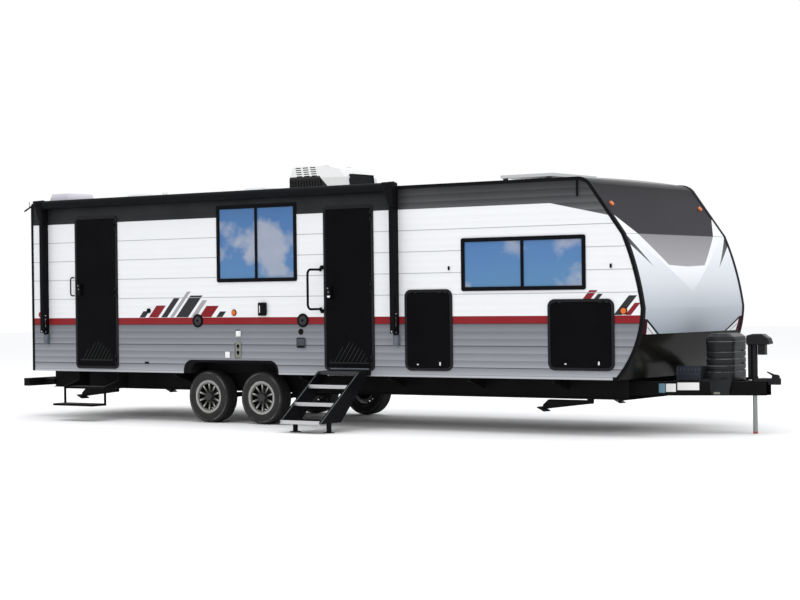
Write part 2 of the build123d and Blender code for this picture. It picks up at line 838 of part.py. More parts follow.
# --------------------------------------------------------- axles, springs, wheels
tyre_radius = tyre_diameter / 2
wheel_y = tyre_outer_y - tyre_width / 2
spindle_radius = axle_diameter / 2 - 8
with BuildPart() as axles:
    # straight tubes with a backing plate and a stepped-down spindle at each end
    for station in axle_stations.values():
        with BuildSketch(Plane.XZ):
            with Locations((fore(station), tyre_radius)):
                Circle(axle_diameter / 2)
        extrude(amount=wheel_y - rim_width / 2 - backing_gap, both=True)
        for sign in (-1, 1):
            plate_y = sign * (wheel_y - rim_width / 2 - backing_gap)
            with BuildSketch(side_plane(plate_y)):
                with Locations((fore(station), tyre_radius)):
                    Circle(drum_diameter / 2)
            extrude(amount=sign * backing_plate)
            with BuildSketch(side_plane(plate_y)):
                with Locations((fore(station), tyre_radius)):
                    Circle(spindle_radius)
            extrude(amount=-sign * spindle_length)
axles.part.label = "axles"
export_step(axles.part, "parts/axles.step")

# Leaf packs under the axles, with eyes at the hangers and the equalizer between the axles
front_axle_x = fore(axle_stations["front"])
rear_axle_x = fore(axle_stations["rear"])
axle_middle = (front_axle_x + rear_axle_x) / 2
leaf_top = tyre_radius - axle_diameter / 2
eye_z = leaf_top + spring_arch
with BuildPart() as leaf_springs:
    for sign in (-1, 1):
        for axle_x, eye_in in (
            (front_axle_x, axle_middle + equalizer_length / 2),
            (rear_axle_x, axle_middle - equalizer_length / 2),
        ):
            half = abs(axle_x - eye_in) - eye_radius
            with BuildSketch(side_plane(sign * rail_y + spring_width / 2)):
                with BuildLine():
                    top_arc = ThreePointArc(
                        (axle_x - half, eye_z), (axle_x, leaf_top), (axle_x + half, eye_z)
                    )
                    Line((axle_x + half, eye_z), (axle_x + half, eye_z - spring_leaf))
                    Polyline(
                        (axle_x + half, eye_z - spring_leaf),
                        (axle_x + 0.5 * half, leaf_top + 0.25 * spring_arch - spring_leaf * 1.6),
                        (axle_x + 0.2 * half, leaf_top - spring_pack),
                        (axle_x - 0.2 * half, leaf_top - spring_pack),
                        (axle_x - 0.5 * half, leaf_top + 0.25 * spring_arch - spring_leaf * 1.6),
                        (axle_x - half, eye_z - spring_leaf),
                    )
                    Line((axle_x - half, eye_z - spring_leaf), (axle_x - half, eye_z))
                make_face()
            extrude(amount=spring_width)
leaf_springs.part.label = "leaf_springs"
export_step(leaf_springs.part, "parts/leaf_springs.step")

# Hangers under the rails: one at each outer eye, and the equalizer's in the middle
spring_half = abs(front_axle_x - axle_middle - equalizer_length / 2)
hanger_stations = (rear_axle_x - spring_half, axle_middle, front_axle_x + spring_half)
with BuildPart() as spring_hangers:
    for sign in (-1, 1):
        for index, station in enumerate(hanger_stations):
            low_z = eye_z - spring_leaf / 2 - eye_radius
            width = equalizer_length if index == 1 else 2 * eye_radius
            with BuildSketch(side_plane(sign * rail_y + spring_width / 2)):
                with BuildLine():
                    Polyline(
                        (station - hanger_top / 2, rail_bottom),
                        (station + hanger_top / 2, rail_bottom),
                        (station + width / 2, eye_z),
                        (station + width / 2, low_z),
                        (station - width / 2, low_z),
                        (station - width / 2, eye_z),
                        close=True,
                    )
                make_face()
            extrude(amount=spring_width)
spring_hangers.part.label = "spring_hangers"
export_step(spring_hangers.part, "parts/spring_hangers.step")

# Tyres and spoked rims; a rim carries its brake drum behind the disc
rim_radius = rim_diameter / 2
bead_radius = rim_radius - 12
pocket_points = []
for radius, width, turns in (
    (pocket_inner, spoke_inner_width, (-1, 1)),
    (pocket_outer, spoke_outer_width, (1, -1)),
):
    # corners of the window that is centred on local X, half a spoke off each spoke's middle
    spread = 180 / spoke_count - degrees(asin(width / 2 / radius))
    for turn in turns:
        pocket_points.append((radius * cos(radians(spread)), turn * radius * sin(radians(spread))))
for axle_name, station in axle_stations.items():
    for side_name, sign in (("door", -1), ("off", 1)):
        hub = Plane(
            origin=(fore(station), sign * wheel_y, tyre_radius), x_dir=(1, 0, 0), z_dir=(0, sign, 0)
        )
        profile_plane = Plane(origin=hub.origin, x_dir=(0, sign, 0), z_dir=(1, 0, 0))
        up = profile_plane.y_dir.Z
        half = tyre_width / 2
        with BuildPart() as tyre:
            # tread, rounded shoulders, bulging sidewalls and beads, revolved about the hub
            with BuildSketch(profile_plane):
                with BuildLine():
                    Line((-tread_half, up * tyre_radius), (tread_half, up * tyre_radius))
                    ThreePointArc(
                        (tread_half, up * tyre_radius),
                        (half - 6, up * (tyre_radius - 16)),
                        (half, up * (tyre_radius + bead_radius) / 2),
                    )
                    ThreePointArc(
                        (half, up * (tyre_radius + bead_radius) / 2),
                        (half - 7, up * (bead_radius + 22)),
                        (rim_width / 2, up * bead_radius),
                    )
                    Line((rim_width / 2, up * bead_radius), (-rim_width / 2, up * bead_radius))
                    ThreePointArc(
                        (-rim_width / 2, up * bead_radius),
                        (7 - half, up * (bead_radius + 22)),
                        (-half, up * (tyre_radius + bead_radius) / 2),
                    )
                    ThreePointArc(
                        (-half, up * (tyre_radius + bead_radius) / 2),
                        (6 - half, up * (tyre_radius - 16)),
                        (-tread_half, up * tyre_radius),
                    )
                make_face()
            revolve(axis=Axis(hub.origin, (0, 1, 0)))
        tyre.part.label = f"tyre_{axle_name}_{side_name}"
        export_step(tyre.part, f"parts/tyre_{axle_name}_{side_name}.step")

        with BuildPart() as rim:
            # dished disc cut into spokes, then barrel and lip, drum, hub bore and cap
            disc_edge = bead_radius - rim_wall / 2
            with BuildSketch(profile_plane):
                with BuildLine():
                    Polyline(
                        (disc_offset, 0),
                        (disc_offset, up * hub_radius),
                        (disc_offset + disc_rise, up * disc_edge),
                        (disc_offset + disc_rise + disc_thickness, up * disc_edge),
                        (disc_offset + disc_thickness, up * hub_radius),
                        (disc_offset + disc_thickness, 0),
                        close=True,
                    )
                make_face()
            revolve(axis=Axis(hub.origin, (0, 1, 0)))
            with BuildSketch(hub.offset(disc_offset)) as pockets:
                with PolarLocations(0, spoke_count):
                    Polygon(*pocket_points, align=None)
                fillet(pockets.vertices(), pocket_corner)
            extrude(amount=disc_rise + disc_thickness, mode=Mode.SUBTRACT)
            with BuildSketch(profile_plane):
                with BuildLine():
                    Polyline(
                        (-rim_width / 2, up * bead_radius),
                        (rim_width / 2 + lip_proud, up * bead_radius),
                        (rim_width / 2 + lip_proud, up * (bead_radius - lip_width)),
                        (rim_width / 2, up * (bead_radius - lip_width)),
                        (rim_width / 2 - lip_proud, up * (bead_radius - rim_wall)),
                        (-rim_width / 2, up * (bead_radius - rim_wall)),
                        close=True,
                    )
                make_face()
            revolve(axis=Axis(hub.origin, (0, 1, 0)))
            with BuildSketch(hub.offset(-rim_width / 2)):
                Circle(drum_diameter / 2)
                Circle(spindle_radius + spindle_clearance, mode=Mode.SUBTRACT)
            extrude(amount=drum_width)
            with BuildSketch(hub.offset(-rim_width / 2 + drum_width)):
                Circle(hub_radius)
                Circle(spindle_radius + spindle_clearance, mode=Mode.SUBTRACT)
            extrude(amount=rim_width / 2 - drum_width + disc_offset)
            with BuildSketch(hub.offset(disc_offset + disc_thickness)):
                Circle(hub_radius)
            extrude(amount=hub_cap, taper=12)
        rim.part.label = f"rim_{axle_name}_{side_name}"
        export_step(rim.part, f"parts/rim_{axle_name}_{side_name}.step")

# ------------------------------------------------------------ tongue and its fittings
rest_z = tray_z + crossbar_thickness
with BuildPart() as gas_cover:
    # two-bottle cover: stadium tub with rolled ribs, a domed lid and an apron at each end
    with BuildSketch(Plane.XY.offset(gas_base)):
        with Locations((gas_x, 0)):
            SlotOverall(gas_length, gas_depth, rotation=90)
    extrude(amount=rest_z - gas_base, taper=gas_foot_taper)
    with BuildSketch(Plane.XY.offset(gas_base)):
        with Locations((gas_x, 0)):
            SlotOverall(gas_length, gas_depth, rotation=90)
    extrude(amount=gas_lid_low - gas_base)
    for z in gas_grooves:
        with BuildSketch(Plane.XY.offset(z)):
            with Locations((gas_x, 0)):
                SlotOverall(gas_length + 1, gas_depth + 1, rotation=90)
                SlotOverall(gas_length - 2 * groove_depth, gas_depth - 2 * groove_depth, 90, mode=Mode.SUBTRACT)
                if z in gas_split_grooves:
                    for turn in (-1, 1):
                        with Locations((0, turn * (gas_length - gas_depth) / 2)):
                            Rectangle(gas_depth + 2, gas_bridge, mode=Mode.SUBTRACT)
        extrude(amount=groove_height, mode=Mode.SUBTRACT)
    with BuildSketch(Plane.XY.offset(gas_lid_low)):
        with Locations((gas_x, 0)):
            SlotOverall(gas_length + 2 * gas_lid_lap, gas_depth + 2 * gas_lid_lap, rotation=90)
    extrude(amount=gas_shoulder - gas_lid_low)
    edge_inset = (gas_crown - gas_shoulder) * tan(radians(gas_edge_taper)) - gas_lid_lap
    with BuildSketch(Plane.XY.offset(gas_shoulder)):
        with Locations((gas_x, 0)):
            SlotOverall(gas_length + 2 * gas_lid_lap, gas_depth + 2 * gas_lid_lap, rotation=90)
    extrude(amount=gas_crown - gas_shoulder, taper=gas_edge_taper)
    with BuildSketch(Plane.XY.offset(gas_crown)):
        with Locations((gas_x, 0)):
            SlotOverall(gas_length - 2 * edge_inset, gas_depth - 2 * edge_inset, rotation=90)
    extrude(amount=gas_top - gas_crown, taper=gas_lid_taper)
    for sign in (-1, 1):
        with BuildSketch(side_plane(sign * gas_length / 2 + (apron_thickness if sign < 0 else 0))):
            with BuildLine():
                Polyline(
                    (gas_x - apron_top / 2, rest_z + 20),
                    (gas_x + apron_top / 2, rest_z + 20),
                    (gas_x + apron_bottom / 2, apron_low),
                    (apron_rear, apron_low),
                    (apron_rear, tray_z + 2),
                    (gas_x - apron_top / 2, tray_z + 2),
                    close=True,
                )
            make_face()
        extrude(amount=apron_thickness)
gas_cover.part.label = "gas_cover"
export_step(gas_cover.part, "parts/gas_cover.step")

with BuildPart() as battery_box:
    # tub under a lapping lid with ribs across it
    lid_low = rest_z + battery_tub
    box_between(
        (battery_x, battery_y, rest_z),
        (battery_x + battery_length, battery_y + battery_width, lid_low),
    )
    with BuildSketch(Plane.XY.offset(lid_low)):
        with Locations((battery_x + battery_length / 2, battery_y + battery_width / 2)):
            RectangleRounded(battery_length + 16, battery_width + 16, 14)
    extrude(amount=battery_lid, taper=8)
    for along in battery_ribs:
        box_between(
            (battery_x + along - 9, battery_y + 12, lid_low + battery_lid),
            (battery_x + along + 9, battery_y + battery_width - 12, lid_low + battery_lid + 7),
        )
battery_box.part.label = "battery_box"
export_step(battery_box.part, "parts/battery_box.step")

with BuildPart() as tongue_jack:
    # outer tube on its mounting plate, gear head and motor, bored for the leg
    with BuildSketch(Plane.XY.offset(jack_tube_low)):
        Circle(jack_tube / 2)
    extrude(amount=jack_head_bottom - jack_tube_low)
    with BuildSketch(Plane.XY.offset(tray_z)):
        RectangleRounded(2 * jack_plate_x, 2 * jack_plate_y, 12)
    extrude(amount=crossbar_thickness)
    with BuildSketch(Plane.XZ) as head_view:
        with BuildLine():
            Polyline(
                (jack_head_rear, jack_head_bottom),
                (jack_head_rear, jack_head_top - 18),
                (0, jack_head_top),
                (jack_head_front - 95, jack_head_top),
                (jack_head_front - 22, jack_head_top - 46),
                (jack_head_front, jack_head_bottom + 12),
                (jack_head_front - 55, jack_head_bottom),
                close=True,
            )
        head_face = make_face()
        fillet(head_face.vertices(), jack_head_round)
    extrude(amount=jack_head_width / 2 - jack_head_edge, both=True)
    for side in (-1, 1):
        rim_place = Location((0, side * (jack_head_width / 2 - jack_head_edge), 0))
        extrude(head_view.sketch.moved(rim_place), amount=-side * jack_head_edge, taper=30)
    with BuildSketch(Plane.XY.offset(jack_motor_low)):
        with Locations((jack_motor_x, 0)):
            RectangleRounded(85, 76, 12)
    extrude(amount=jack_head_bottom - jack_motor_low)
    with BuildSketch(Plane.XY.offset(jack_tube_low)):
        Circle(jack_leg / 2 + leg_clearance)
    extrude(amount=jack_bore, mode=Mode.SUBTRACT)
tongue_jack.part.label = "tongue_jack"
export_step(tongue_jack.part, "parts/tongue_jack.step")

with BuildPart() as jack_leg_tube:
    with BuildSketch():
        Circle(jack_leg / 2)
    extrude(amount=leg_length)
    with BuildSketch(Plane.XY.offset(leg_foot)):
        Circle(jack_leg / 2 - leg_wall)
    extrude(amount=leg_length, mode=Mode.SUBTRACT)
jack_leg_tube.part.label = "jack_leg"
export_step(jack_leg_tube.part, "parts/jack_leg.step")

with BuildPart() as coupler:
    # plate over the beams' tips, neck, ball housing bored from below, and latch
    with BuildSketch(Plane.XY.offset(tray_z)):
        with BuildLine():
            Polyline(
                (coupler_rear, -beam_offset(coupler_rear) - beam_half),
                (beam_tip_x, -beam_tip_y - beam_half),
                (coupler_tip - ball_housing, -ball_housing),
                (coupler_tip - ball_housing, ball_housing),
                (beam_tip_x, beam_tip_y + beam_half),
                (coupler_rear, beam_offset(coupler_rear) + beam_half),
                close=True,
            )
        make_face()
    extrude(amount=coupler_top - tray_z)
    with BuildSketch(Plane.XY.offset(coupler_low)):
        with Locations((coupler_tip - ball_housing, 0)):
            Circle(ball_housing)
            Rectangle(neck_length, 2 * ball_housing, align=(Align.MAX, Align.CENTER))
    extrude(amount=coupler_top - coupler_low)
    with BuildSketch(Plane.XY.offset(coupler_top)):
        with Locations((coupler_tip - 1.4 * ball_housing, 0)):
            RectangleRounded(2.2 * ball_housing, 0.8 * ball_housing, 10)
    extrude(amount=latch_height, taper=10)
    lever_x = coupler_tip - 1.4 * ball_housing
    lever_z = coupler_top + latch_height
    with BuildSketch(side_plane(lever_width / 2)):
        with BuildLine():
            Polyline(
                (lever_x + 30, lever_z - 6),
                (lever_x + 30, lever_z + 8),
                (lever_x - 20, lever_z + 14),
                (lever_x - lever_reach, lever_z + lever_rise),
                (lever_x - lever_reach - 8, lever_z + lever_rise - 8),
                (lever_x - 30, lever_z - 6),
                close=True,
            )
        make_face()
    extrude(amount=lever_width)
    with BuildSketch(Plane.XY.offset(coupler_low)):
        with Locations((coupler_tip - ball_housing, 0)):
            Circle(ball_radius)
    extrude(amount=ball_socket, mode=Mode.SUBTRACT)
coupler.part.label = "coupler"
export_step(coupler.part, "parts/coupler.step")

# Stabilizer legs folded up under the rails, on hinge boxes
with BuildPart() as stabilizer_mounts:
    for station in stabilizer_stations:
        for sign in (-1, 1):
            for side in (-1, 1):
                low_y, high_y = sorted(
                    (
                        sign * rail_y + side * (stabilizer_width / 2 + side_gap),
                        sign * rail_y + side * (stabilizer_width / 2 + side_gap + ear_thickness),
                    )
                )
                with BuildSketch(side_plane(high_y)):
                    with Locations((fore(station), stabilizer_z)):
                        Circle(ear_radius)
                        Rectangle(
                            2 * ear_radius, rail_bottom - stabilizer_z, align=(Align.CENTER, Align.MIN)
                        )
                extrude(amount=high_y - low_y)
            with BuildSketch(side_plane(sign * rail_y + stabilizer_width / 2 + side_gap)):
                with Locations((fore(station), stabilizer_z)):
                    Circle(pin_radius)
            extrude(amount=stabilizer_width + 2 * side_gap)
stabilizer_mounts.part.label = "stabilizer_mounts"
export_step(stabilizer_mounts.part, "parts/stabilizer_mounts.step")

# side view of the arm at rest, from its pin: a level top, and a lower edge that falls to the foot
arm_reach = -stabilizer_length * cos(radians(stabilizer_droop))
arm_drop = -stabilizer_length * sin(radians(stabilizer_droop))
arm_points = (
    (0, 2 - ear_radius),
    (0, stabilizer_top),
    (arm_reach + stabilizer_solid, stabilizer_top),
    (arm_reach, arm_drop + stabilizer_depth),
    (arm_reach, arm_drop - stabilizer_depth / 2),
)
inner_points = (
    (-stabilizer_solid, -2 * stabilizer_length),
    (-stabilizer_solid, stabilizer_top - stabilizer_wall),
    (arm_reach + 2 * stabilizer_solid, stabilizer_top - stabilizer_wall),
    (arm_reach + 1.4 * stabilizer_solid, -2 * stabilizer_length),
)
for end_name, station in zip(("rear", "front"), stabilizer_stations):
    for side_name, sign in (("door", -1), ("off", 1)):
        pivot = (fore(station), stabilizer_z)
        reach = (
            pivot[0] - stabilizer_length * cos(radians(stabilizer_droop)),
            pivot[1] - stabilizer_length * sin(radians(stabilizer_droop)),
        )
        with BuildPart() as stabilizer:
            with BuildSketch(side_plane(sign * rail_y + stabilizer_width / 2)):
                with Locations(pivot):
                    Polygon(*arm_points, align=None)
                    Circle(ear_radius - 2)
                    Circle(pin_radius + pin_clearance, mode=Mode.SUBTRACT)
            extrude(amount=stabilizer_width)
            with BuildSketch(side_plane(sign * rail_y + stabilizer_width / 2 - stabilizer_wall)):
                with Locations(pivot):
                    Polygon(*inner_points, align=None)
            extrude(amount=stabilizer_width - 2 * stabilizer_wall, mode=Mode.SUBTRACT)
            foot = Plane(
                origin=(reach[0], sign * rail_y, reach[1]),
                x_dir=(1, 0, 0),
                z_dir=(0, 0, 1),
            ).rotated((0, -stabilizer_droop + stabilizer_foot_angle, 0))
            with BuildSketch(foot.offset(-stabilizer_depth / 2 - 3)):
                RectangleRounded(110, 150, 12)
            extrude(amount=6)
        stabilizer.part.label = f"stabilizer_{end_name}_{side_name}"
        export_step(stabilizer.part, f"parts/stabilizer_{end_name}_{side_name}.step")

# ------------------------------------------------------------------- entry steps
entry_start, entry_width, entry_sill, entry_height, entry_radius = door_side_doors["entry_door"]
step_x = fore(entry_start) + entry_width / 2
step_half = step_width / 2
step_pivot = (-side_y - step_pivot_out, entry_sill + 1 - step_pivot_round)
landing = (step_pivot[0] - landing_depth, entry_sill + 1)
tread_fronts = [
    (landing[0] - first_run - index * step_run, landing[1] - first_rise - index * step_rise)
    for index in range(step_count)
]
last_front = tread_fronts[-1]
plate_low = last_front[1] - 33
with BuildPart() as entry_steps:
    # two side plates, the landing and three treads, and two feet under the lowest tread
    for side in (-1, 1):
        start_x = step_x + (step_half if side > 0 else -step_half - step_plate)
        with BuildSketch(Plane.YZ.offset(start_x)):
            with BuildLine():
                Polyline(
                    (step_pivot[0], landing[1]),
                    landing,
                    (last_front[0] - 14, last_front[1] - 9),
                    (last_front[0] - 14, plate_low),
                    (last_front[0] + 385, plate_low),
                    (step_pivot[0] - 4, step_pivot[1] - step_pivot_round),
                    close=True,
                )
            make_face()
            with Locations(step_pivot):
                Circle(step_pivot_round)
                Circle(pin_radius + pin_clearance, mode=Mode.SUBTRACT)
        extrude(amount=step_plate)
    box_between(
        (step_x - step_half, landing[0] + nosing_thickness, landing[1] - tread_thickness),
        (step_x + step_half, step_pivot[0] - 2, landing[1]),
    )
    for front_y, top_z in tread_fronts:
        box_between(
            (step_x - step_half, front_y + nosing_thickness, top_z - tread_thickness),
            (step_x + step_half, front_y + tread_depth, top_z),
        )
    for side in (-1, 1):
        foot_x = step_x + side * (step_half - 45)
        foot_y = last_front[0] + 225
        box_between((foot_x - 20, foot_y - 20, 9), (foot_x + 20, foot_y + 20, last_front[1] - 5))
        box_between((foot_x - 45, foot_y - 45, 1), (foot_x + 45, foot_y + 45, 9))
entry_steps.part.label = "entry_steps"
export_step(entry_steps.part, "parts/entry_steps.step")

with BuildPart() as step_nosings:
    for front_y, top_z in [landing, *tread_fronts]:
        box_between(
            (step_x - step_half, front_y, top_z - nosing_height),
            (step_x + step_half, front_y + nosing_thickness, top_z),
        )
step_nosings.part.label = "step_nosings"
export_step(step_nosings.part, "parts/step_nosings.step")

with BuildPart() as step_mount:
    # plate on the wall under the door, with an ear and a pin at each side
    ear_gap = step_half + step_plate + pin_side_gap
    mount_reach = ear_gap + ear_thickness
    mount_face = -side_y - trim_proud
    box_between(
        (step_x - mount_reach, mount_face - 6, entry_sill - 57),
        (step_x + mount_reach, mount_face, entry_sill - 1),
    )
    box_between(
        (step_x - mount_reach, mount_face, wall_bottom + trim_width),
        (step_x + mount_reach, -side_y, entry_sill - 1),
    )
    for side in (-1, 1):
        start_x = step_x + (ear_gap if side > 0 else -ear_gap - ear_thickness)
        with BuildSketch(Plane.YZ.offset(start_x)):
            with Locations(step_pivot):
                Circle(step_pivot_round)
                reach = mount_face + side_y + step_pivot_out
                Rectangle(reach, 2 * step_pivot_round - 2, align=(Align.MIN, Align.CENTER))
        extrude(amount=ear_thickness)
        pin_start = step_x + (step_half + 1 if side > 0 else -ear_gap - 1)
        with BuildSketch(Plane.YZ.offset(pin_start)):
            with Locations(step_pivot):
                Circle(pin_radius)
        extrude(amount=ear_gap - step_half)
step_mount.part.label = "step_mount"
export_step(step_mount.part, "parts/step_mount.step")

# -------------------------------------------------------------------- rear step
rear_start, rear_width, rear_sill, rear_height, rear_radius = door_side_doors["rear_door"]
rear_step_x = fore(rear_start) + rear_width / 2
rear_half = rear_step_width / 2
rear_pivot = (-side_y - rear_pivot_out, rear_pivot_z)
rear_ear = 18.0
with BuildPart() as rear_step_frame:
    for side in (-1, 1):
        start_x = rear_step_x + (rear_half if side > 0 else -rear_half - ear_thickness)
        with BuildSketch(Plane.YZ.offset(start_x)):
            with BuildLine():
                Polyline(
                    (-inner_y + 160, wall_bottom),
                    (-side_y + 5, wall_bottom),
                    (-side_y + 5, wall_bottom - 110),
                    (rear_pivot[0], rear_pivot[1] + rear_ear),
                    (rear_pivot[0], rear_pivot[1] - rear_ear),
                    (-inner_y + 160, rear_pivot[1] - rear_ear),
                    close=True,
                )
            make_face()
            with Locations(rear_pivot):
                Circle(rear_ear)
        extrude(amount=ear_thickness)
        pin_low, pin_high = sorted(
            (rear_step_x + side * rear_half, rear_step_x + side * (rear_half + 2 * ear_thickness + pin_side_gap))
        )
        with BuildSketch(Plane.YZ.offset(pin_low)):
            with Locations(rear_pivot):
                Circle(pin_radius)
        extrude(amount=pin_high - pin_low)
    box_between(
        (rear_step_x - rear_half, rear_pivot[0] + rear_ear, rear_pivot[1] - 18),
        (rear_step_x + rear_half, -side_y + 20, rear_pivot[1] + 10),
    )
rear_step_frame.part.label = "rear_step_frame"
export_step(rear_step_frame.part, "parts/rear_step_frame.step")

with BuildPart() as rear_step:
    arm_start = rear_half + ear_thickness + pin_side_gap
    for side in (-1, 1):
        start_x = rear_step_x + (arm_start if side > 0 else -arm_start - ear_thickness)
        with BuildSketch(Plane.YZ.offset(start_x)):
            with Locations(rear_pivot):
                Circle(rear_ear)
                Rectangle(2 * rear_ear, rear_pivot[1] - rear_tread_low, align=(Align.CENTER, Align.MAX))
                Circle(pin_radius + pin_clearance, mode=Mode.SUBTRACT)
        extrude(amount=ear_thickness)
    box_between(
        (rear_step_x - arm_start, rear_pivot[0] - rear_tread_depth, rear_tread_low),
        (rear_step_x + arm_start, rear_pivot[0] + rear_ear, rear_tread_low + tread_thickness),
    )
rear_step.part.label = "rear_step"
export_step(rear_step.part, "parts/rear_step.step")

# ---------------------------------------------------------------- grab handles
handle_x = fore(entry_start) - handle_setback
rear_handle_x = fore(rear_start) - handle_setback
handle_y = -side_y - handle_standoff
with BuildPart() as grab_handle:
    with BuildLine() as handle_path:
        FilletPolyline(
            (handle_x, handle_y, handle_low + barrel_height / 2),
            (handle_x, handle_y - handle_reach, handle_low + barrel_height / 2),
            (handle_x, handle_y - handle_reach, handle_high - barrel_height / 2),
            (handle_x, handle_y, handle_high - barrel_height / 2),
            radius=handle_bend,
        )
    with BuildSketch(Plane(handle_path.line @ 0, z_dir=handle_path.line % 0)):
        Circle(handle_tube / 2)
    sweep()
    for z in (handle_low, handle_high - barrel_height):
        with BuildSketch(Plane.XY.offset(z)):
            with Locations((handle_x, handle_y)):
                Circle(barrel_radius)
        extrude(amount=barrel_height)
    with BuildSketch(Plane.XY.offset(handle_low)):
        with Locations((handle_x, handle_y)):
            Circle(pin_radius + pin_clearance)
    extrude(amount=handle_high - handle_low, mode=Mode.SUBTRACT)
grab_handle.part.label = "grab_handle"
export_step(grab_handle.part, "parts/grab_handle.step")

with BuildPart() as handle_brackets:
    for z, pin_z in (
        (handle_low - knuckle_gap - ear_thickness, handle_low - knuckle_gap),
        (handle_high + knuckle_gap, handle_high - barrel_height + 5),
    ):
        box_between((handle_x - 22, -side_y - 6, z - 20), (handle_x + 22, -side_y, z + ear_thickness + 20))
        with BuildSketch(Plane.XY.offset(z)):
            with Locations((handle_x, handle_y)):
                Circle(barrel_radius)
                Rectangle(2 * barrel_radius, handle_standoff, align=(Align.CENTER, Align.MIN))
        extrude(amount=ear_thickness)
        with BuildSketch(Plane.XY.offset(pin_z)):
            with Locations((handle_x, handle_y)):
                Circle(pin_radius)
        extrude(amount=barrel_height - 5 + knuckle_gap)
    # fixed handle behind the rear door
    with BuildLine() as rear_handle_path:
        FilletPolyline(
            (rear_handle_x, -side_y, rear_handle_low),
            (rear_handle_x, -side_y - rear_handle_reach, rear_handle_low),
            (rear_handle_x, -side_y - rear_handle_reach, rear_handle_high),
            (rear_handle_x, -side_y, rear_handle_high),
            radius=rear_handle_bend,
        )
    with BuildSketch(Plane(rear_handle_path.line @ 0, z_dir=rear_handle_path.line % 0)):
        Circle(rear_handle_tube / 2)
    sweep()
handle_brackets.part.label = "handle_brackets"
export_step(handle_brackets.part, "parts/handle_brackets.step")

# ------------------------------------------------------------------- the awning
roll_y = -side_y - roll_out
with BuildPart() as awning_arms:
    for station in awning_stations:
        x = fore(station)
        box_between((x, -side_y - arm_depth, arm_low), (x + arm_width, -side_y, roll_z - 25))
        box_between((x + 8, -side_y - arm_depth / 2, arm_foot), (x + arm_width - 8, -side_y, arm_low))
        with BuildSketch(Plane.YZ.offset(x)):
            with Locations((roll_y, roll_z)):
                Circle(roll_cap / 2)
        extrude(amount=arm_width)
awning_arms.part.label = "awning_arms"
export_step(awning_arms.part, "parts/awning_arms.step")

with BuildPart() as awning_roll:
    roll_start, roll_end = (fore(station) for station in awning_stations)
    with BuildSketch(Plane.YZ.offset(roll_start + arm_width)):
        with Locations((roll_y, roll_z)):
            Circle(roll_diameter / 2)
        with Locations((-side_y, roof_edge - trim_width - 2)):
            Rectangle(roll_out - roll_diameter / 2 + 8, 32, align=(Align.MAX, Align.MAX))
    extrude(amount=roll_end - roll_start - arm_width)
awning_roll.part.label = "awning_roll"
export_step(awning_roll.part, "parts/awning_roll.step")

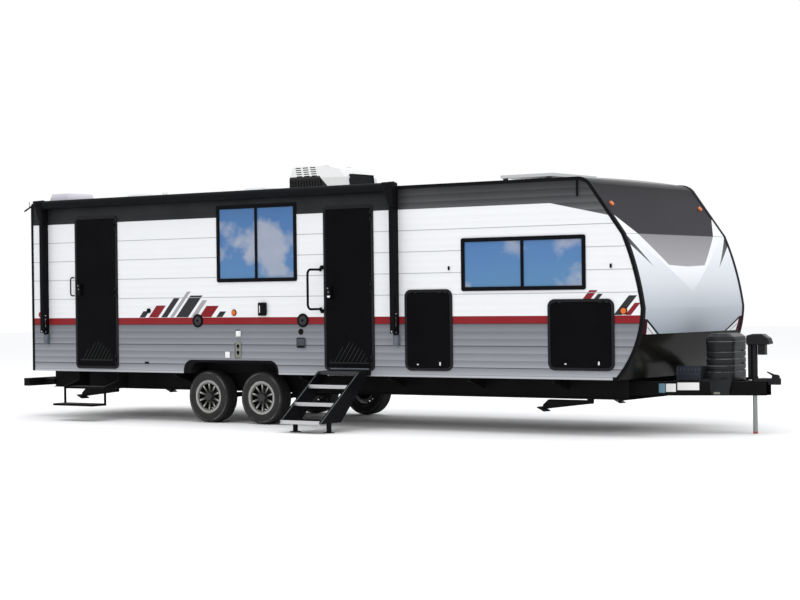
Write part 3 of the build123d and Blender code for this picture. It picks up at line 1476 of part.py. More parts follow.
# ------------------------------------------------------------ roof equipment
roof_rise = roof_edge + roof_crown
with BuildPart() as air_conditioner:
    # moulded shroud: its side view, falling to the front, cut by the lean of its sides
    centre = fore(ac_station)
    ac_top = roof_rise + ac_height
    with BuildSketch(side_plane(ac_width / 2)):
        with BuildLine():
            Polyline(
                (centre - ac_length / 2, roof_rise),
                (centre - ac_length / 2, ac_top),
                (centre, ac_top),
                (centre + ac_length / 2 - 150, ac_top - 65),
                (centre + ac_length / 2 - 22, roof_rise + ac_side),
                (centre + ac_length / 2, roof_rise),
                close=True,
            )
        side_view = make_face()
        fillet(side_view.vertices().filter_by_position(Axis.Y, roof_rise + 1, ac_top), ac_corner)
    extrude(amount=ac_width)
    with BuildSketch(Plane.YZ.offset(centre - ac_length)):
        with BuildLine():
            Polyline(
                (-ac_width / 2, roof_rise),
                (-ac_width / 2, roof_rise + ac_side),
                (-ac_top_width / 2, ac_top),
                (ac_top_width / 2, ac_top),
                (ac_width / 2, roof_rise + ac_side),
                (ac_width / 2, roof_rise),
                close=True,
            )
        end_view = make_face()
        fillet(end_view.vertices().filter_by_position(Axis.Y, ac_top - 1, ac_top + 1), ac_corner)
    extrude(amount=2 * ac_length, mode=Mode.INTERSECT)
    lean_out = (ac_width - ac_top_width) / 2
    lean_up = ac_height - ac_side
    louvre_x = centre - ac_length / 2 + 14
    louvre_low = roof_rise + 24
    louvre_high = roof_rise + ac_side - 14
    for side in (-1, 1):
        # sunk louvre panel at the rear of each side
        out = 0 if side < 0 else 1
        panel_plane = side_plane(side * (ac_width / 2 - louvre_depth) + out * (louvre_depth + 1))
        with BuildSketch(panel_plane):
            with BuildLine():
                Polyline(
                    (louvre_x, louvre_low),
                    (louvre_x, louvre_high),
                    (louvre_x + louvre_count * louvre_pitch - louvre_lean, louvre_high),
                    (louvre_x + louvre_count * louvre_pitch + louvre_lean / 2, louvre_low),
                    close=True,
                )
            make_face()
        extrude(amount=louvre_depth + 1, mode=Mode.SUBTRACT)
        with BuildSketch(side_plane(side * (ac_width / 2 - 2.5 * louvre_depth) + out * 2.5 * louvre_depth)):
            for index in range(1, louvre_count):
                with Locations((louvre_x + index * louvre_pitch, (louvre_low + louvre_high) / 2)):
                    SlotOverall(louvre_high - louvre_low - 24, louvre_pitch / 2, rotation=100)
        extrude(amount=2.5 * louvre_depth, mode=Mode.SUBTRACT)
        # rows of slots through the leaning part over it
        lean_plane = Plane(
            origin=(centre, side * (ac_width - lean_out) / 2, roof_rise + ac_side + lean_up / 2),
            x_dir=(1, 0, 0),
            z_dir=(0, side * lean_up, lean_out),
        )
        with BuildSketch(lean_plane):
            for row in range(slot_grid[1]):
                rise = (row - (slot_grid[1] - 1) / 2) * slot_pitch[1]
                for column in range(slot_grid[0]):
                    along = -ac_length / 2 + 100 + column * slot_pitch[0] - row * slot_shift + 50
                    with Locations((along, -side * rise)):
                        SlotOverall(*slot_size)
        extrude(amount=-2 * louvre_depth, mode=Mode.SUBTRACT)
    box_between(
        (centre + ac_length / 2 - inlet_depth, -inlet_half, roof_rise + 40),
        (centre + ac_length / 2 + 1, inlet_half, roof_rise + ac_side - 16),
        mode=Mode.SUBTRACT,
    )
    for index in range(inlet_fins):
        fin_z = roof_rise + 62 + index * 34
        box_between(
            (centre + ac_length / 2 - inlet_depth, -inlet_half, fin_z),
            (centre + ac_length / 2 - 30, inlet_half, fin_z + 5),
        )
air_conditioner.part.label = "air_conditioner"
export_step(air_conditioner.part, "parts/air_conditioner.step")

with BuildPart() as roof_fittings:
    # vent curbs, shower skylight, pipe vents
    for station, y in vent_places:
        with BuildSketch(Plane.XY.offset(roof_rise - 5)):
            with Locations((fore(station), y)):
                RectangleRounded(vent_size, vent_size, 20)
                RectangleRounded(vent_size - 30, vent_size - 30, 10, mode=Mode.SUBTRACT)
        extrude(amount=vent_curb + 5)
        pivot = (fore(station) + vent_size / 2 + vent_hinge_out, roof_rise + vent_curb + vent_hinge_up)
        for side in (-1, 1):
            ear_start = y + side * vent_ear_y + vent_ear / 2
            with BuildSketch(side_plane(ear_start)):
                with BuildLine():
                    Polyline(
                        (pivot[0] - vent_hinge_out - 1, roof_rise + vent_curb / 2),
                        (pivot[0] + vent_barrel, roof_rise + vent_curb - 5),
                        (pivot[0] + vent_barrel, pivot[1]),
                        (pivot[0] - vent_barrel, pivot[1]),
                        (pivot[0] - vent_barrel, roof_rise + vent_curb - 1),
                        (pivot[0] - vent_hinge_out - 1, roof_rise + vent_curb - 1),
                        close=True,
                    )
                make_face()
                with Locations(pivot):
                    Circle(vent_barrel)
            extrude(amount=vent_ear)
        with BuildSketch(side_plane(y + vent_ear_y)):
            with Locations(pivot):
                Circle(vent_pin)
        extrude(amount=2 * vent_ear_y)
    skylight_z = roof_rise - 20
    with BuildSketch(Plane.XY.offset(skylight_z)):
        with Locations((fore(skylight_station), skylight_y)):
            RectangleRounded(skylight_length, skylight_width, 50)
    extrude(amount=skylight_height, taper=20)
    for station, y in pipe_places:
        with Locations((fore(station), y, roof_rise - 20)):
            Cylinder(38, 110, align=(Align.CENTER, Align.CENTER, Align.MIN))
            Cylinder(55, 30, align=(Align.CENTER, Align.CENTER, Align.MIN))
    add(roof_crown_cut(), mode=Mode.SUBTRACT)
roof_fittings.part.label = "roof_fittings"
export_step(roof_fittings.part, "parts/roof_fittings.step")

for index, (station, y) in enumerate(vent_places, start=1):
    lid_z = roof_rise + vent_curb + 1
    with BuildPart() as vent_lid:
        with BuildSketch(Plane.XY.offset(lid_z)):
            with Locations((fore(station), y)):
                RectangleRounded(vent_size + 20, vent_size + 20, 24)
        extrude(amount=30)
        with BuildSketch(Plane.XY.offset(lid_z + 30)):
            with Locations((fore(station), y)):
                RectangleRounded(vent_size, vent_size, 24)
        extrude(amount=45, taper=35)
        pivot = (fore(station) + vent_size / 2 + vent_hinge_out, roof_rise + vent_curb + vent_hinge_up)
        barrel_start = vent_ear_y - vent_ear / 2 - knuckle_gap
        with BuildSketch(side_plane(y + barrel_start)):
            with Locations(pivot):
                Circle(vent_barrel)
                Rectangle(vent_hinge_out, vent_barrel, align=(Align.MAX, Align.MIN))
        extrude(amount=2 * barrel_start)
        with BuildSketch(side_plane(y + barrel_start)):
            with Locations(pivot):
                Circle(vent_pin + pin_clearance)
        extrude(amount=2 * barrel_start, mode=Mode.SUBTRACT)
    vent_lid.part.label = f"vent_lid_{index}"
    export_step(vent_lid.part, f"parts/vent_lid_{index}.step")

with BuildPart() as solar_panel:
    box_between(
        (fore(solar_station) - solar_length / 2, -solar_width / 2, roof_rise + solar_feet),
        (fore(solar_station) + solar_length / 2, solar_width / 2, roof_rise + solar_feet + solar_thickness),
    )
    solar_top = roof_rise + solar_feet + solar_thickness
    with BuildSketch(Plane.XY.offset(solar_top - solar_sink)):
        with Locations((fore(solar_station), 0)):
            Rectangle(solar_length - 2 * solar_frame, solar_width - 2 * solar_frame)
    extrude(amount=solar_sink + 1, mode=Mode.SUBTRACT)
    for x_side in (-1, 1):
        for y_side in (-1, 1):
            foot_x = fore(solar_station) + x_side * (solar_length / 2 - 60)
            foot_y = y_side * (solar_width / 2 - 15)
            box_between(
                (foot_x - 25, foot_y - 15, roof_edge),
                (foot_x + 25, foot_y + 15, roof_rise + solar_feet),
            )
    add(roof_crown_cut(), mode=Mode.SUBTRACT)
solar_panel.part.label = "solar_panel"
export_step(solar_panel.part, "parts/solar_panel.step")

# ------------------------------------------------------- lamps and wall fittings
marker_share = (brow[1] - roof_edge + marker_drop) / (brow[1] - cap_bend[1])
marker_x = brow[0] + marker_share * (cap_bend[0] - brow[0])
cap_normal = (brow[1] - cap_bend[1], 0, cap_bend[0] - brow[0])
with BuildPart() as lamps:
    # round side lamps, square rear ones and two round markers on the cap
    for side in (-1, 1):
        origin = (marker_x, side * marker_y, roof_edge - marker_drop)
        with BuildSketch(Plane(origin=origin, x_dir=(0, 1, 0), z_dir=cap_normal)):
            Circle(lamp_size[0] / 2)
        extrude(amount=lamp_proud, taper=15)
    for station, z in door_side_lamps:
        add(wall_slab("door", (fore(station), z), lamp_size, lamp_size[0] / 2 - 0.5, 0, lamp_proud))
    for station, z in off_side_lamps:
        add(wall_slab("off", (fore(station), z), lamp_size, lamp_size[0] / 2 - 0.5, 0, lamp_proud))
    for y, z in rear_lamps:
        add(wall_slab("rear", (y, z), tail_size, 20, 0, lamp_proud))
lamps.part.label = "lamps"
export_step(lamps.part, "parts/lamps.step")

with BuildPart() as wall_fittings:
    # speakers, outlet cover, ports and vents, each proud of its wall
    for wall, station, z, width, height, radius, proud in fittings:
        add(wall_slab(wall, (fore(station), z), (width, height), radius, 0, proud))
wall_fittings.part.label = "wall_fittings"
export_step(wall_fittings.part, "parts/wall_fittings.step")
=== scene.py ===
from functools import reduce
from math import atan2, cos, pi, radians, sin
import bmesh
import bpy
from mathutils import Matrix, Vector


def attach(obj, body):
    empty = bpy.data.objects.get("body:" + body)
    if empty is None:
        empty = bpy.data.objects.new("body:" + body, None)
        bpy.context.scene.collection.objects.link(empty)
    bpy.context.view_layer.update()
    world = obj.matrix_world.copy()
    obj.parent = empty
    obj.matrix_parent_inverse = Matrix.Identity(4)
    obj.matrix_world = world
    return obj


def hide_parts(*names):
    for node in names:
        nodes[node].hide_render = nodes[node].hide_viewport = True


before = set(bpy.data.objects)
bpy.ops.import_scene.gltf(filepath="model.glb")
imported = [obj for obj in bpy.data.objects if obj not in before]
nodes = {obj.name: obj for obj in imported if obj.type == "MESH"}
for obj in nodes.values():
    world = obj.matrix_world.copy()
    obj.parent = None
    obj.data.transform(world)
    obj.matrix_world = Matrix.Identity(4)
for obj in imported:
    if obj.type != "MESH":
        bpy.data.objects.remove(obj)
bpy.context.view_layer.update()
print("frame loaded")


def addThing(name, data):
    thing = bpy.data.objects.new(name, data)
    bpy.context.collection.objects.link(thing)
    return thing


# camera and light
view = dict(place=(9.045, -19.423, 1.543), yaw=35.30, pitch=0.12, roll=-0.71, lens=87.4)
yaw, pitch, roll = radians(view["yaw"]), radians(view["pitch"]), radians(view["roll"])
ahead = Vector((-sin(yaw) * cos(pitch), cos(yaw) * cos(pitch), -sin(pitch)))
right = Vector((cos(yaw), sin(yaw), 0))
up = right.cross(ahead)
turnedRight = cos(roll) * right + sin(roll) * up
turnedUp = -sin(roll) * right + cos(roll) * up
camera = addThing("camera", bpy.data.cameras.new("camera"))
camera.data.lens = view["lens"]
camera.data.sensor_width = 36
camera.data.clip_end = 200
camera.matrix_world = Matrix.Translation(view["place"]) @ Matrix(
    (turnedRight, turnedUp, -ahead)).transposed().to_4x4()
bpy.context.scene.camera = camera


def lamp(name, place, aim, size, power):
    light = bpy.data.lights.new(name, "AREA")
    light.shape = "RECTANGLE"
    light.size, light.size_y = size
    light.energy = power
    thing = addThing(name, light)
    thing.location = place
    thing.rotation_euler = (Vector(aim) - Vector(place)).to_track_quat("-Z", "Y").to_euler()


lamp("skyPanel", (-5, -2, 14), (-5, 0, 0), (18, 12), 900)
lamp("sidePanel", (2, -17, 9), (-5, 0, 1.4), (14, 8), 300)
lamp("frontPanel", (16, -3, 7), (-1, 0, 1.4), (8, 7), 130)
lamp("farPanel", (-8, 16, 9), (-5, 0, 1.4), (14, 8), 250)
lamp("rearPanel", (-25, -3, 7), (-9, 0, 1.4), (8, 7), 100)
world = bpy.data.worlds.new("studio")
bpy.context.scene.world = world
world.use_nodes = True
world.node_tree.nodes["Background"].inputs[0].default_value = (0.985, 0.99, 1.0, 1)
world.node_tree.nodes["Background"].inputs[1].default_value = 1.02
bpy.context.scene.view_settings.view_transform = "Standard"
bpy.context.scene.view_settings.exposure = 0.0


class Finish:
    # a material whose nodes are strung together by short calls
    def __init__(self, name, colour=(0.8, 0.8, 0.8), rough=0.5, metal=0.0, coat=0.0, specular=0.5):
        self.material = bpy.data.materials.new(name)
        self.material.use_nodes = True
        self.tree = self.material.node_tree
        self.shader = self.tree.nodes["Principled BSDF"]
        self.shader.inputs["Base Color"].default_value = (*colour, 1)
        self.shader.inputs["Roughness"].default_value = rough
        self.shader.inputs["Metallic"].default_value = metal
        self.shader.inputs["Coat Weight"].default_value = coat
        self.shader.inputs["Coat Roughness"].default_value = 0.06
        self.shader.inputs["Specular IOR Level"].default_value = specular
        self.place = self.node("ShaderNodeTexCoord").outputs["Object"]
        split = self.node("ShaderNodeSeparateXYZ")
        self.tree.links.new(self.place, split.inputs[0])
        self.x, self.y, self.z = split.outputs

    def node(self, kind):
        return self.tree.nodes.new(kind)

    def put(self, source, socket):
        if isinstance(source, bpy.types.NodeSocket):
            self.tree.links.new(source, socket)
        elif source is not None:
            socket.default_value = source

    def math(self, operation, *values):
        node = self.node("ShaderNodeMath")
        node.operation = operation
        for value, socket in zip(values, node.inputs):
            self.put(value, socket)
        return node.outputs[0]

    def times(self, *masks):
        return reduce(lambda first, second: self.math("MULTIPLY", first, second), masks)

    def either(self, *masks):
        return reduce(lambda first, second: self.math("MAXIMUM", first, second), masks)

    def less(self, value, taken):
        return self.math("SUBTRACT", value, taken)

    def under(self, value, edge):
        return self.math("LESS_THAN", value, edge)

    def over(self, value, edge):
        return self.math("GREATER_THAN", value, edge)

    def away(self, value):
        return self.math("ABSOLUTE", value)

    def step(self, value, edge, soft=0.001):
        # 0 below the edge, 1 above it
        node = self.node("ShaderNodeMapRange")
        self.put(value, node.inputs["Value"])
        self.put(edge - soft, node.inputs["From Min"])
        self.put(edge + soft, node.inputs["From Max"])
        return node.outputs["Result"]

    def band(self, value, low, high, soft=0.001):
        return self.times(self.step(value, low, soft), self.less(1.0, self.step(value, high, soft)))

    def side(self, first, second, start, end, soft=0.002):
        # 1 on the left of the line from start to end, in the plane of two coordinates
        (ax, ay), (bx, by) = start, end
        length = ((bx - ax) ** 2 + (by - ay) ** 2) ** 0.5
        nx, ny = -(by - ay) / length, (bx - ax) / length
        value = self.math("ADD", self.times(first, nx), self.times(second, ny))
        return self.step(value, nx * ax + ny * ay, soft)

    def patch(self, first, second, corners, soft=0.002):
        # 1 inside a convex patch whose corners go anticlockwise
        ends = zip(corners, corners[1:] + corners[:1])
        return self.times(*(self.side(first, second, start, end, soft) for start, end in ends))

    def ramp(self, value, stops, low=0.0, high=1.0):
        # colour or grey stops over a range of the value
        scale = self.node("ShaderNodeMapRange")
        self.put(value, scale.inputs["Value"])
        self.put(low, scale.inputs["From Min"])
        self.put(high, scale.inputs["From Max"])
        node = self.node("ShaderNodeValToRGB")
        for index, (place, colour) in enumerate(stops):
            element = node.color_ramp.elements[index] if index < 2 else node.color_ramp.elements.new(place)
            element.position = place
            element.color = (*colour, 1) if isinstance(colour, tuple) else (colour, colour, colour, 1)
        self.tree.links.new(scale.outputs["Result"], node.inputs["Fac"])
        return node.outputs["Color"]

    def mix(self, amount, below, above):
        node = self.node("ShaderNodeMix")
        node.data_type = "RGBA"
        self.put(amount, node.inputs[0])
        self.put((*below, 1) if isinstance(below, tuple) else below, node.inputs[6])
        self.put((*above, 1) if isinstance(above, tuple) else above, node.inputs[7])
        return node.outputs[2]

    def noise(self, scale, detail=3.0, stretch=None):
        node = self.node("ShaderNodeTexNoise")
        node.inputs["Scale"].default_value = scale
        node.inputs["Detail"].default_value = detail
        place = self.place
        if stretch:
            mapping = self.node("ShaderNodeMapping")
            mapping.inputs["Scale"].default_value = stretch
            self.tree.links.new(place, mapping.inputs[0])
            place = mapping.outputs[0]
        self.tree.links.new(place, node.inputs["Vector"])
        return node.outputs[0]

    def wave(self, value, pitch, offset=0.0):
        # 0 to 1 and back over each pitch
        turned = self.times(self.less(value, offset), 2 * pi / pitch)
        return self.math("MULTIPLY_ADD", self.math("COSINE", turned), 0.5, 0.5)

    def colour(self, source):
        self.put(source, self.shader.inputs["Base Color"])

    def rough(self, source, low=0.0, high=1.0):
        node = self.node("ShaderNodeMapRange")
        self.put(source, node.inputs["Value"])
        node.inputs["To Min"].default_value = low
        node.inputs["To Max"].default_value = high
        self.tree.links.new(node.outputs["Result"], self.shader.inputs["Roughness"])

    def bump(self, height, depth, strength):
        node = self.node("ShaderNodeBump")
        node.inputs["Strength"].default_value = strength
        node.inputs["Distance"].default_value = depth
        self.put(height, node.inputs["Height"])
        before = self.shader.inputs["Normal"]
        if before.is_linked:
            self.tree.links.new(before.links[0].from_socket, node.inputs["Normal"])
        self.tree.links.new(node.outputs[0], before)

    def skin(self, sheen, low, high, grain, depth, strength=0.5, detail=3.0):
        # patches of sheen and a fine bump, the end of most finishes
        self.rough(self.noise(sheen), low, high)
        self.bump(self.noise(grain, detail), depth, strength)
        return self.material


def toneAndSheenPatches(finish, base, dark, scale, amount):
    # slow patches of a second tone; on the nose that second tone is a painted sheen
    return finish.mix(finish.times(finish.noise(scale), amount), base, dark)


def sidingFinish():
    look = dict(
        white=(0.755, 0.765, 0.78), red=(0.215, 0.006, 0.011), darkEdge=2.533,
        stripe=(1.219, 1.307), grooves=(0.728, 0.972, 1.219, 1.554, 1.799, 2.045, 2.290), grooveHalf=0.0048,
        rib=0.0818, openings=1.2165, rearWall=-9.80,
        # plain slanted bars over the wheels and at the nose: (start of the foot, width, low, high, tone)
        bars=((-7.90, 0.10, 1.31, 1.39, 0), (-7.74, 0.16, 1.31, 1.46, 1), (-7.53, 0.10, 1.31, 1.55, 0),
              (-7.38, 0.06, 1.31, 1.63, 2), (-7.28, 0.20, 1.31, 1.58, 0), (-7.03, 0.08, 1.31, 1.52, 2),
              (-6.90, 0.20, 1.31, 1.45, 1), (-6.62, 0.10, 1.31, 1.38, 0), (-1.44, 0.10, 1.48, 1.58, 1),
              (-1.30, 0.06, 1.48, 1.54, 0), (-1.06, 0.10, 1.31, 1.52, 0), (-0.92, 0.07, 1.31, 1.44, 1)),
        barTones=((0.020, 0.020, 0.023), (0.20, 0.006, 0.012), (0.32, 0.32, 0.34)), lean=0.9,
    )
    f = Finish("sidingPaint", look["white"], 0.38, coat=0.0, specular=0.06)
    z, x = f.z, f.x
    # soft shading of the planks' rolled ribs, each darker at its top
    rib = f.math("FRACT", f.math("DIVIDE", f.less(z, look["stripe"][0]), look["rib"]))
    wave = f.wave(z, look["rib"], look["stripe"][0])
    whitePaint = f.mix(f.times(rib, 0.10), look["white"], (0.70, 0.72, 0.76))
    greyPaint = f.ramp(z, [(0.0, (0.36, 0.37, 0.40)), (0.35, (0.275, 0.285, 0.32)), (0.72, (0.235, 0.245, 0.275)),
                           (1.0, (0.165, 0.17, 0.19))], 0.60, 1.24)
    greyPaint = f.mix(f.times(rib, 0.55), greyPaint, (0.11, 0.115, 0.13))
    greyPaint = f.mix(f.band(z, 0.616, 0.640, 0.004), greyPaint, (0.42, 0.43, 0.46))
    darkPaint = f.ramp(z, [(0.0, (0.150, 0.153, 0.160)), (0.45, (0.075, 0.077, 0.082)), (1.0, (0.010, 0.010, 0.011))],
                       2.36, 2.84)
    darkPaint = f.mix(f.times(rib, 0.6), darkPaint, (0.016, 0.016, 0.018))
    # painted shadow of the rolled awning: under it the band is almost black
    shaded = f.less(1.0, f.step(x, -3.80, 0.12))
    darkPaint = f.mix(f.times(shaded, 0.86), darkPaint, (0.004, 0.0055, 0.007))
    colour = f.mix(f.step(z, look["stripe"][0]), greyPaint, look["red"])
    colour = f.mix(f.step(z, look["stripe"][1]), colour, whitePaint)
    slope = f.math("MULTIPLY_ADD", z, -look["lean"], x)
    for start, width, low, high, tone in look["bars"]:
        foot = start - look["lean"] * low
        bar = f.times(f.band(slope, foot, foot + width), f.band(z, low, high))
        colour = f.mix(bar, colour, look["barTones"][tone])
    # the dark band's lower edge is level, then falls towards the nose
    level = f.step(z, look["darkEdge"])
    falling = f.less(1.0, f.side(x, z, (-0.95, 2.346), (-1.856, 2.538)))
    front = f.step(x, -1.85)
    dark = f.either(level, f.times(front, falling))
    colour = f.mix(dark, colour, darkPaint)
    half = look["grooveHalf"]
    lines = f.either(*(f.band(z, height - half, height + half, 0.0015) for height in look["grooves"]))
    lineTone = f.mix(f.step(z, 1.25), (0.045, 0.048, 0.055), (0.38, 0.39, 0.41))
    colour = f.mix(f.times(lines, 0.85), colour, lineTone)
    # cut edges of the side walls, inside their openings
    edges = f.times(f.under(f.away(f.y), look["openings"]), f.over(x, look["rearWall"]))
    colour = f.mix(edges, colour, (0.006, 0.006, 0.0065))
    colour = f.mix(f.times(f.noise(2.2, 5.0), 0.05), colour, (0.45, 0.45, 0.44))
    f.colour(colour)
    f.rough(f.noise(2.5), 0.30, 0.44)
    f.bump(wave, 0.004, 0.5)
    f.bump(f.noise(1.6, 2.0, (0.4, 0.4, 3.0)), 0.0012, 0.5)
    return f.material


def capFinish():
    look = dict(seam=2.182, white=(0.80, 0.815, 0.84))
    f = Finish("capPaint", look["white"], 0.5, coat=0.0, specular=0.02)
    z = f.z
    across = f.away(f.y)
    colour = f.ramp(z, [
        (0.0, (0.30, 0.335, 0.38)), (0.22, (0.43, 0.465, 0.51)), (0.5, (0.62, 0.65, 0.69)), (0.8, (0.74, 0.765, 0.80)),
        (1.0, (0.80, 0.82, 0.85))], 1.10, 2.20)
    # pale bands that fall from the corners and meet in a shallow point
    bandOut = f.side(across, z, (0.12, 1.62), (1.20, 2.24))
    colour = f.mix(f.times(bandOut, f.step(z, 1.66, 0.14)), colour, look["white"])
    sliver = f.patch(across, z, [(0.79, 1.822), (1.205, 2.085), (1.205, 2.19)])
    colour = f.mix(sliver, colour, f.ramp(z, [(0.0, 0.17), (1.0, 0.05)], 1.82, 2.19))
    panel = f.patch(across, z, [(-1.0, 1.795), (0.43, 1.845), (0.905, 2.182), (-1.0, 2.182)])
    colour = f.mix(panel, colour, f.ramp(z, [(0.0, (0.37, 0.365, 0.385)), (1.0, (0.25, 0.245, 0.255))], 1.80, 2.18))
    dark = f.times(f.step(z, look["seam"]), f.side(across, z, (0.905, 2.182), (1.20, 2.408)))
    dark = f.either(dark, f.step(z, 2.42))
    charcoal = f.ramp(z, [(0.0, (0.034, 0.033, 0.039)), (0.6, (0.027, 0.027, 0.032)), (1.0, (0.012, 0.012, 0.014))],
                      2.18, 2.82)
    colour = f.mix(dark, colour, charcoal)
    # plain wedges at the lower corners
    for corners, tone in ((((0.86, 1.10), (1.10, 1.10), (1.13, 1.245)), (0.66, 0.67, 0.69)),
                          (((1.085, 1.10), (1.30, 1.10), (1.30, 1.28), (1.115, 1.262)), (0.045, 0.005, 0.010)),
                          (((0.79, 1.10), (0.835, 1.10), (1.135, 1.245), (1.125, 1.268)), (0.010, 0.010, 0.012)),
                          (((0.92, 1.10), (0.94, 1.10), (1.085, 1.17), (1.085, 1.182)), (0.16, 0.16, 0.17))):
        colour = f.mix(f.patch(across, z, list(corners)), colour, tone)
    seamLine = f.band(z, look["seam"] - 0.003, look["seam"] + 0.003, 0.001)
    colour = f.mix(f.times(seamLine, 0.7), colour, (0.06, 0.06, 0.065))
    f.colour(colour)
    return f.skin(1.4, 0.28, 0.40, 0.9, 0.006, 0.35, 1.5)


def windowFinish():
    # tinted panes with a painted reflection of a blue sky and its clouds
    f = Finish("paneWithPaintedSky", (0.1, 0.2, 0.4), 0.06, coat=0.12, specular=0.12)
    paintedSky = f.ramp(f.z, [(0.0, (0.085, 0.21, 0.39)), (0.5, (0.062, 0.155, 0.37)), (1.0, (0.045, 0.135, 0.34))], 1.6, 2.7)
    paintedSky = f.mix(f.times(f.noise(0.9), 0.5), paintedSky, (0.11, 0.22, 0.35))
    # in the front window the painted sky reflection shows only the tops of its clouds
    front = f.times(f.step(f.x, -3.2), f.under(f.y, 0))
    drift = f.math("MULTIPLY_ADD", front, 0.085, f.noise(1.25, 4.5, (1.0, 1.0, 1.2)))
    puffs = f.ramp(drift, [(0.53, 0.0), (0.61, 1.0)])
    paintedClouds = f.mix(f.noise(4.0), (0.40, 0.40, 0.45), (0.24, 0.30, 0.40))
    edge = f.times(puffs, 0.9)
    f.colour(f.mix(edge, paintedSky, paintedClouds))
    return f.skin(3.0, 0.04, 0.09, 1.2, 0.0015, 0.2, 1.0)


def noseFinish():
    # smooth black skin with a faint waviness and slow patches of painted sheen
    look = dict(tone=(0.0030, 0.0030, 0.0030), paintedSheen=(0.013, 0.012, 0.0085))
    f = Finish("noseGelcoat", look["tone"], 0.2, coat=0.03, specular=0.03)
    f.colour(toneAndSheenPatches(f, look["tone"], look["paintedSheen"], 1.6, 0.5))
    return f.skin(7.0, 0.14, 0.28, 1.5, 0.002, 0.35, 1.5)


def doorFinish():
    # black skin with a plain group of slanted lines low on each door
    look = dict(tone=(0.0025, 0.0025, 0.003), line=(0.030, 0.034, 0.031), low=0.775, high=1.02,
                pitch=0.062, width=0.0085, doors=((-8.93, -8.36), (-4.86, -4.29)))
    f = Finish("doorSkin", look["tone"], 0.2, coat=0.0, specular=0.02)
    slope = f.math("MULTIPLY_ADD", f.z, -0.7, f.x)
    stripes = f.under(f.math("PINGPONG", slope, look["pitch"] / 2), look["width"] / 2)
    field = f.either(*(f.patch(f.x, f.z, [
        (start, look["low"]), (end, look["low"]), (end - 0.06, 0.90), (end - 0.26, look["high"]), (start + 0.20, 0.96),
    ]) for start, end in look["doors"]))
    base = f.band(f.z, look["low"] - 0.014, look["low"] - 0.004)
    span = f.either(*(f.band(f.x, start, end) for start, end in look["doors"]))
    near = f.under(f.y, -1.2)
    drawn = f.either(f.times(stripes, field), f.times(base, span))
    skin = toneAndSheenPatches(f, look["tone"], tuple(v * 2.6 for v in look["tone"]), 3.0, 0.6)
    f.colour(f.mix(f.times(drawn, near), skin, look["line"]))
    return f.skin(7.0, 0.14, 0.28, 1.5, 0.002, 0.35, 1.5)


def grainFinish(name, tone, rough, grain=420.0, depth=0.0005, metal=0.0, coat=0.0, spread=1.6, sheen=None):
    # moulded or powder-coated skin: fine grain, slow variation of tone and sheen
    plain = 0.035 if max(tone) < 0.03 else 0.12 if max(tone) < 0.1 else 0.3
    f = Finish(name, tone, 0.45, metal, coat, plain if sheen is None else sheen)
    f.colour(toneAndSheenPatches(f, tone, tuple(min(1, v * spread) for v in tone), 5.0, 0.6))
    return f.skin(9.0, *rough, grain, depth, 0.6, 2.0)


def steelFinish(name, tone, stretch=(30, 30, 400), rough=(0.22, 0.42)):
    # brushed or drawn metal
    f = Finish(name, tone, 0.3, 1.0)
    streaks = f.noise(3.0, 4.0, stretch)
    f.colour(f.mix(f.times(streaks, 0.5), tone, tuple(v * 0.55 for v in tone)))
    f.rough(streaks, *rough)
    f.bump(streaks, 0.0003, 0.4)
    return f.material


def nosingFinish():
    # ribbed aluminium nosings, with the landing's one painted
    f = Finish("nosingAluminium", (0.60, 0.60, 0.61), 0.35, 1.0)
    landing = f.over(f.z, 0.62)
    ribs = f.wave(f.z, 0.0045)
    metal = f.mix(f.times(ribs, 0.45), (0.60, 0.60, 0.61), (0.30, 0.30, 0.31))
    f.colour(f.mix(landing, metal, (0.010, 0.011, 0.014)))
    f.put(f.math("MULTIPLY_ADD", landing, -0.9, 0.9), f.shader.inputs["Metallic"])
    f.rough(f.noise(40.0), 0.28, 0.45)
    f.bump(ribs, 0.0006, 0.6)
    return f.material


def coverFinish():
    # moulded polythene with painted highlights along its rib lips
    look = dict(lips=(0.672, 0.741, 0.815, 0.890, 1.005), half=0.0032)
    f = Finish("blackPolythene", (0.012, 0.013, 0.0145), 0.4, specular=0.16)
    lines = f.either(*(f.band(f.z, height - look["half"], height + look["half"], 0.002) for height in look["lips"]))
    # painted highlights on the lower lips of the ribs, in patches along them
    paintedLipHighlights = f.times(lines, f.ramp(f.noise(7.0, 2.0), [(0.36, 0.15), (0.58, 0.9)]))
    base = f.mix(f.noise(4.0), (0.0095, 0.0102, 0.0115), (0.018, 0.019, 0.021))
    f.colour(f.mix(paintedLipHighlights, base, (0.16, 0.165, 0.17)))
    return f.skin(300.0, 0.26, 0.40, 280.0, 0.0004)


def chassisFinish():
    # black frame paint with a painted highlight on every upward face
    f = Finish("chassisPaint", (0.0045, 0.0045, 0.005), 0.45, specular=0.03)
    split = f.node("ShaderNodeSeparateXYZ")
    f.put(f.node("ShaderNodeNewGeometry").outputs["Normal"], split.inputs[0])
    up = f.over(split.outputs[2], 0.8)
    upwardHighlight = f.times(up, f.math("MULTIPLY_ADD", f.noise(9.0), 0.6, 0.3))
    f.colour(f.mix(upwardHighlight, f.mix(f.noise(3.0), (0.004, 0.004, 0.0045), (0.010, 0.0095, 0.009)), (0.10, 0.10, 0.095)))
    return f.skin(11.0, 0.36, 0.58, 260.0, 0.0006)


def wheelRadius(f):
    # distance from the nearer wheel centre, seen from the side
    look = dict(stations=(-6.829, -5.980), height=0.325)
    along = f.math("MINIMUM", *(f.away(f.less(f.x, station)) for station in look["stations"]))
    upward = f.less(f.z, look["height"])
    return f.math("SQRT", f.math("ADD", f.times(along, along), f.times(upward, upward)))


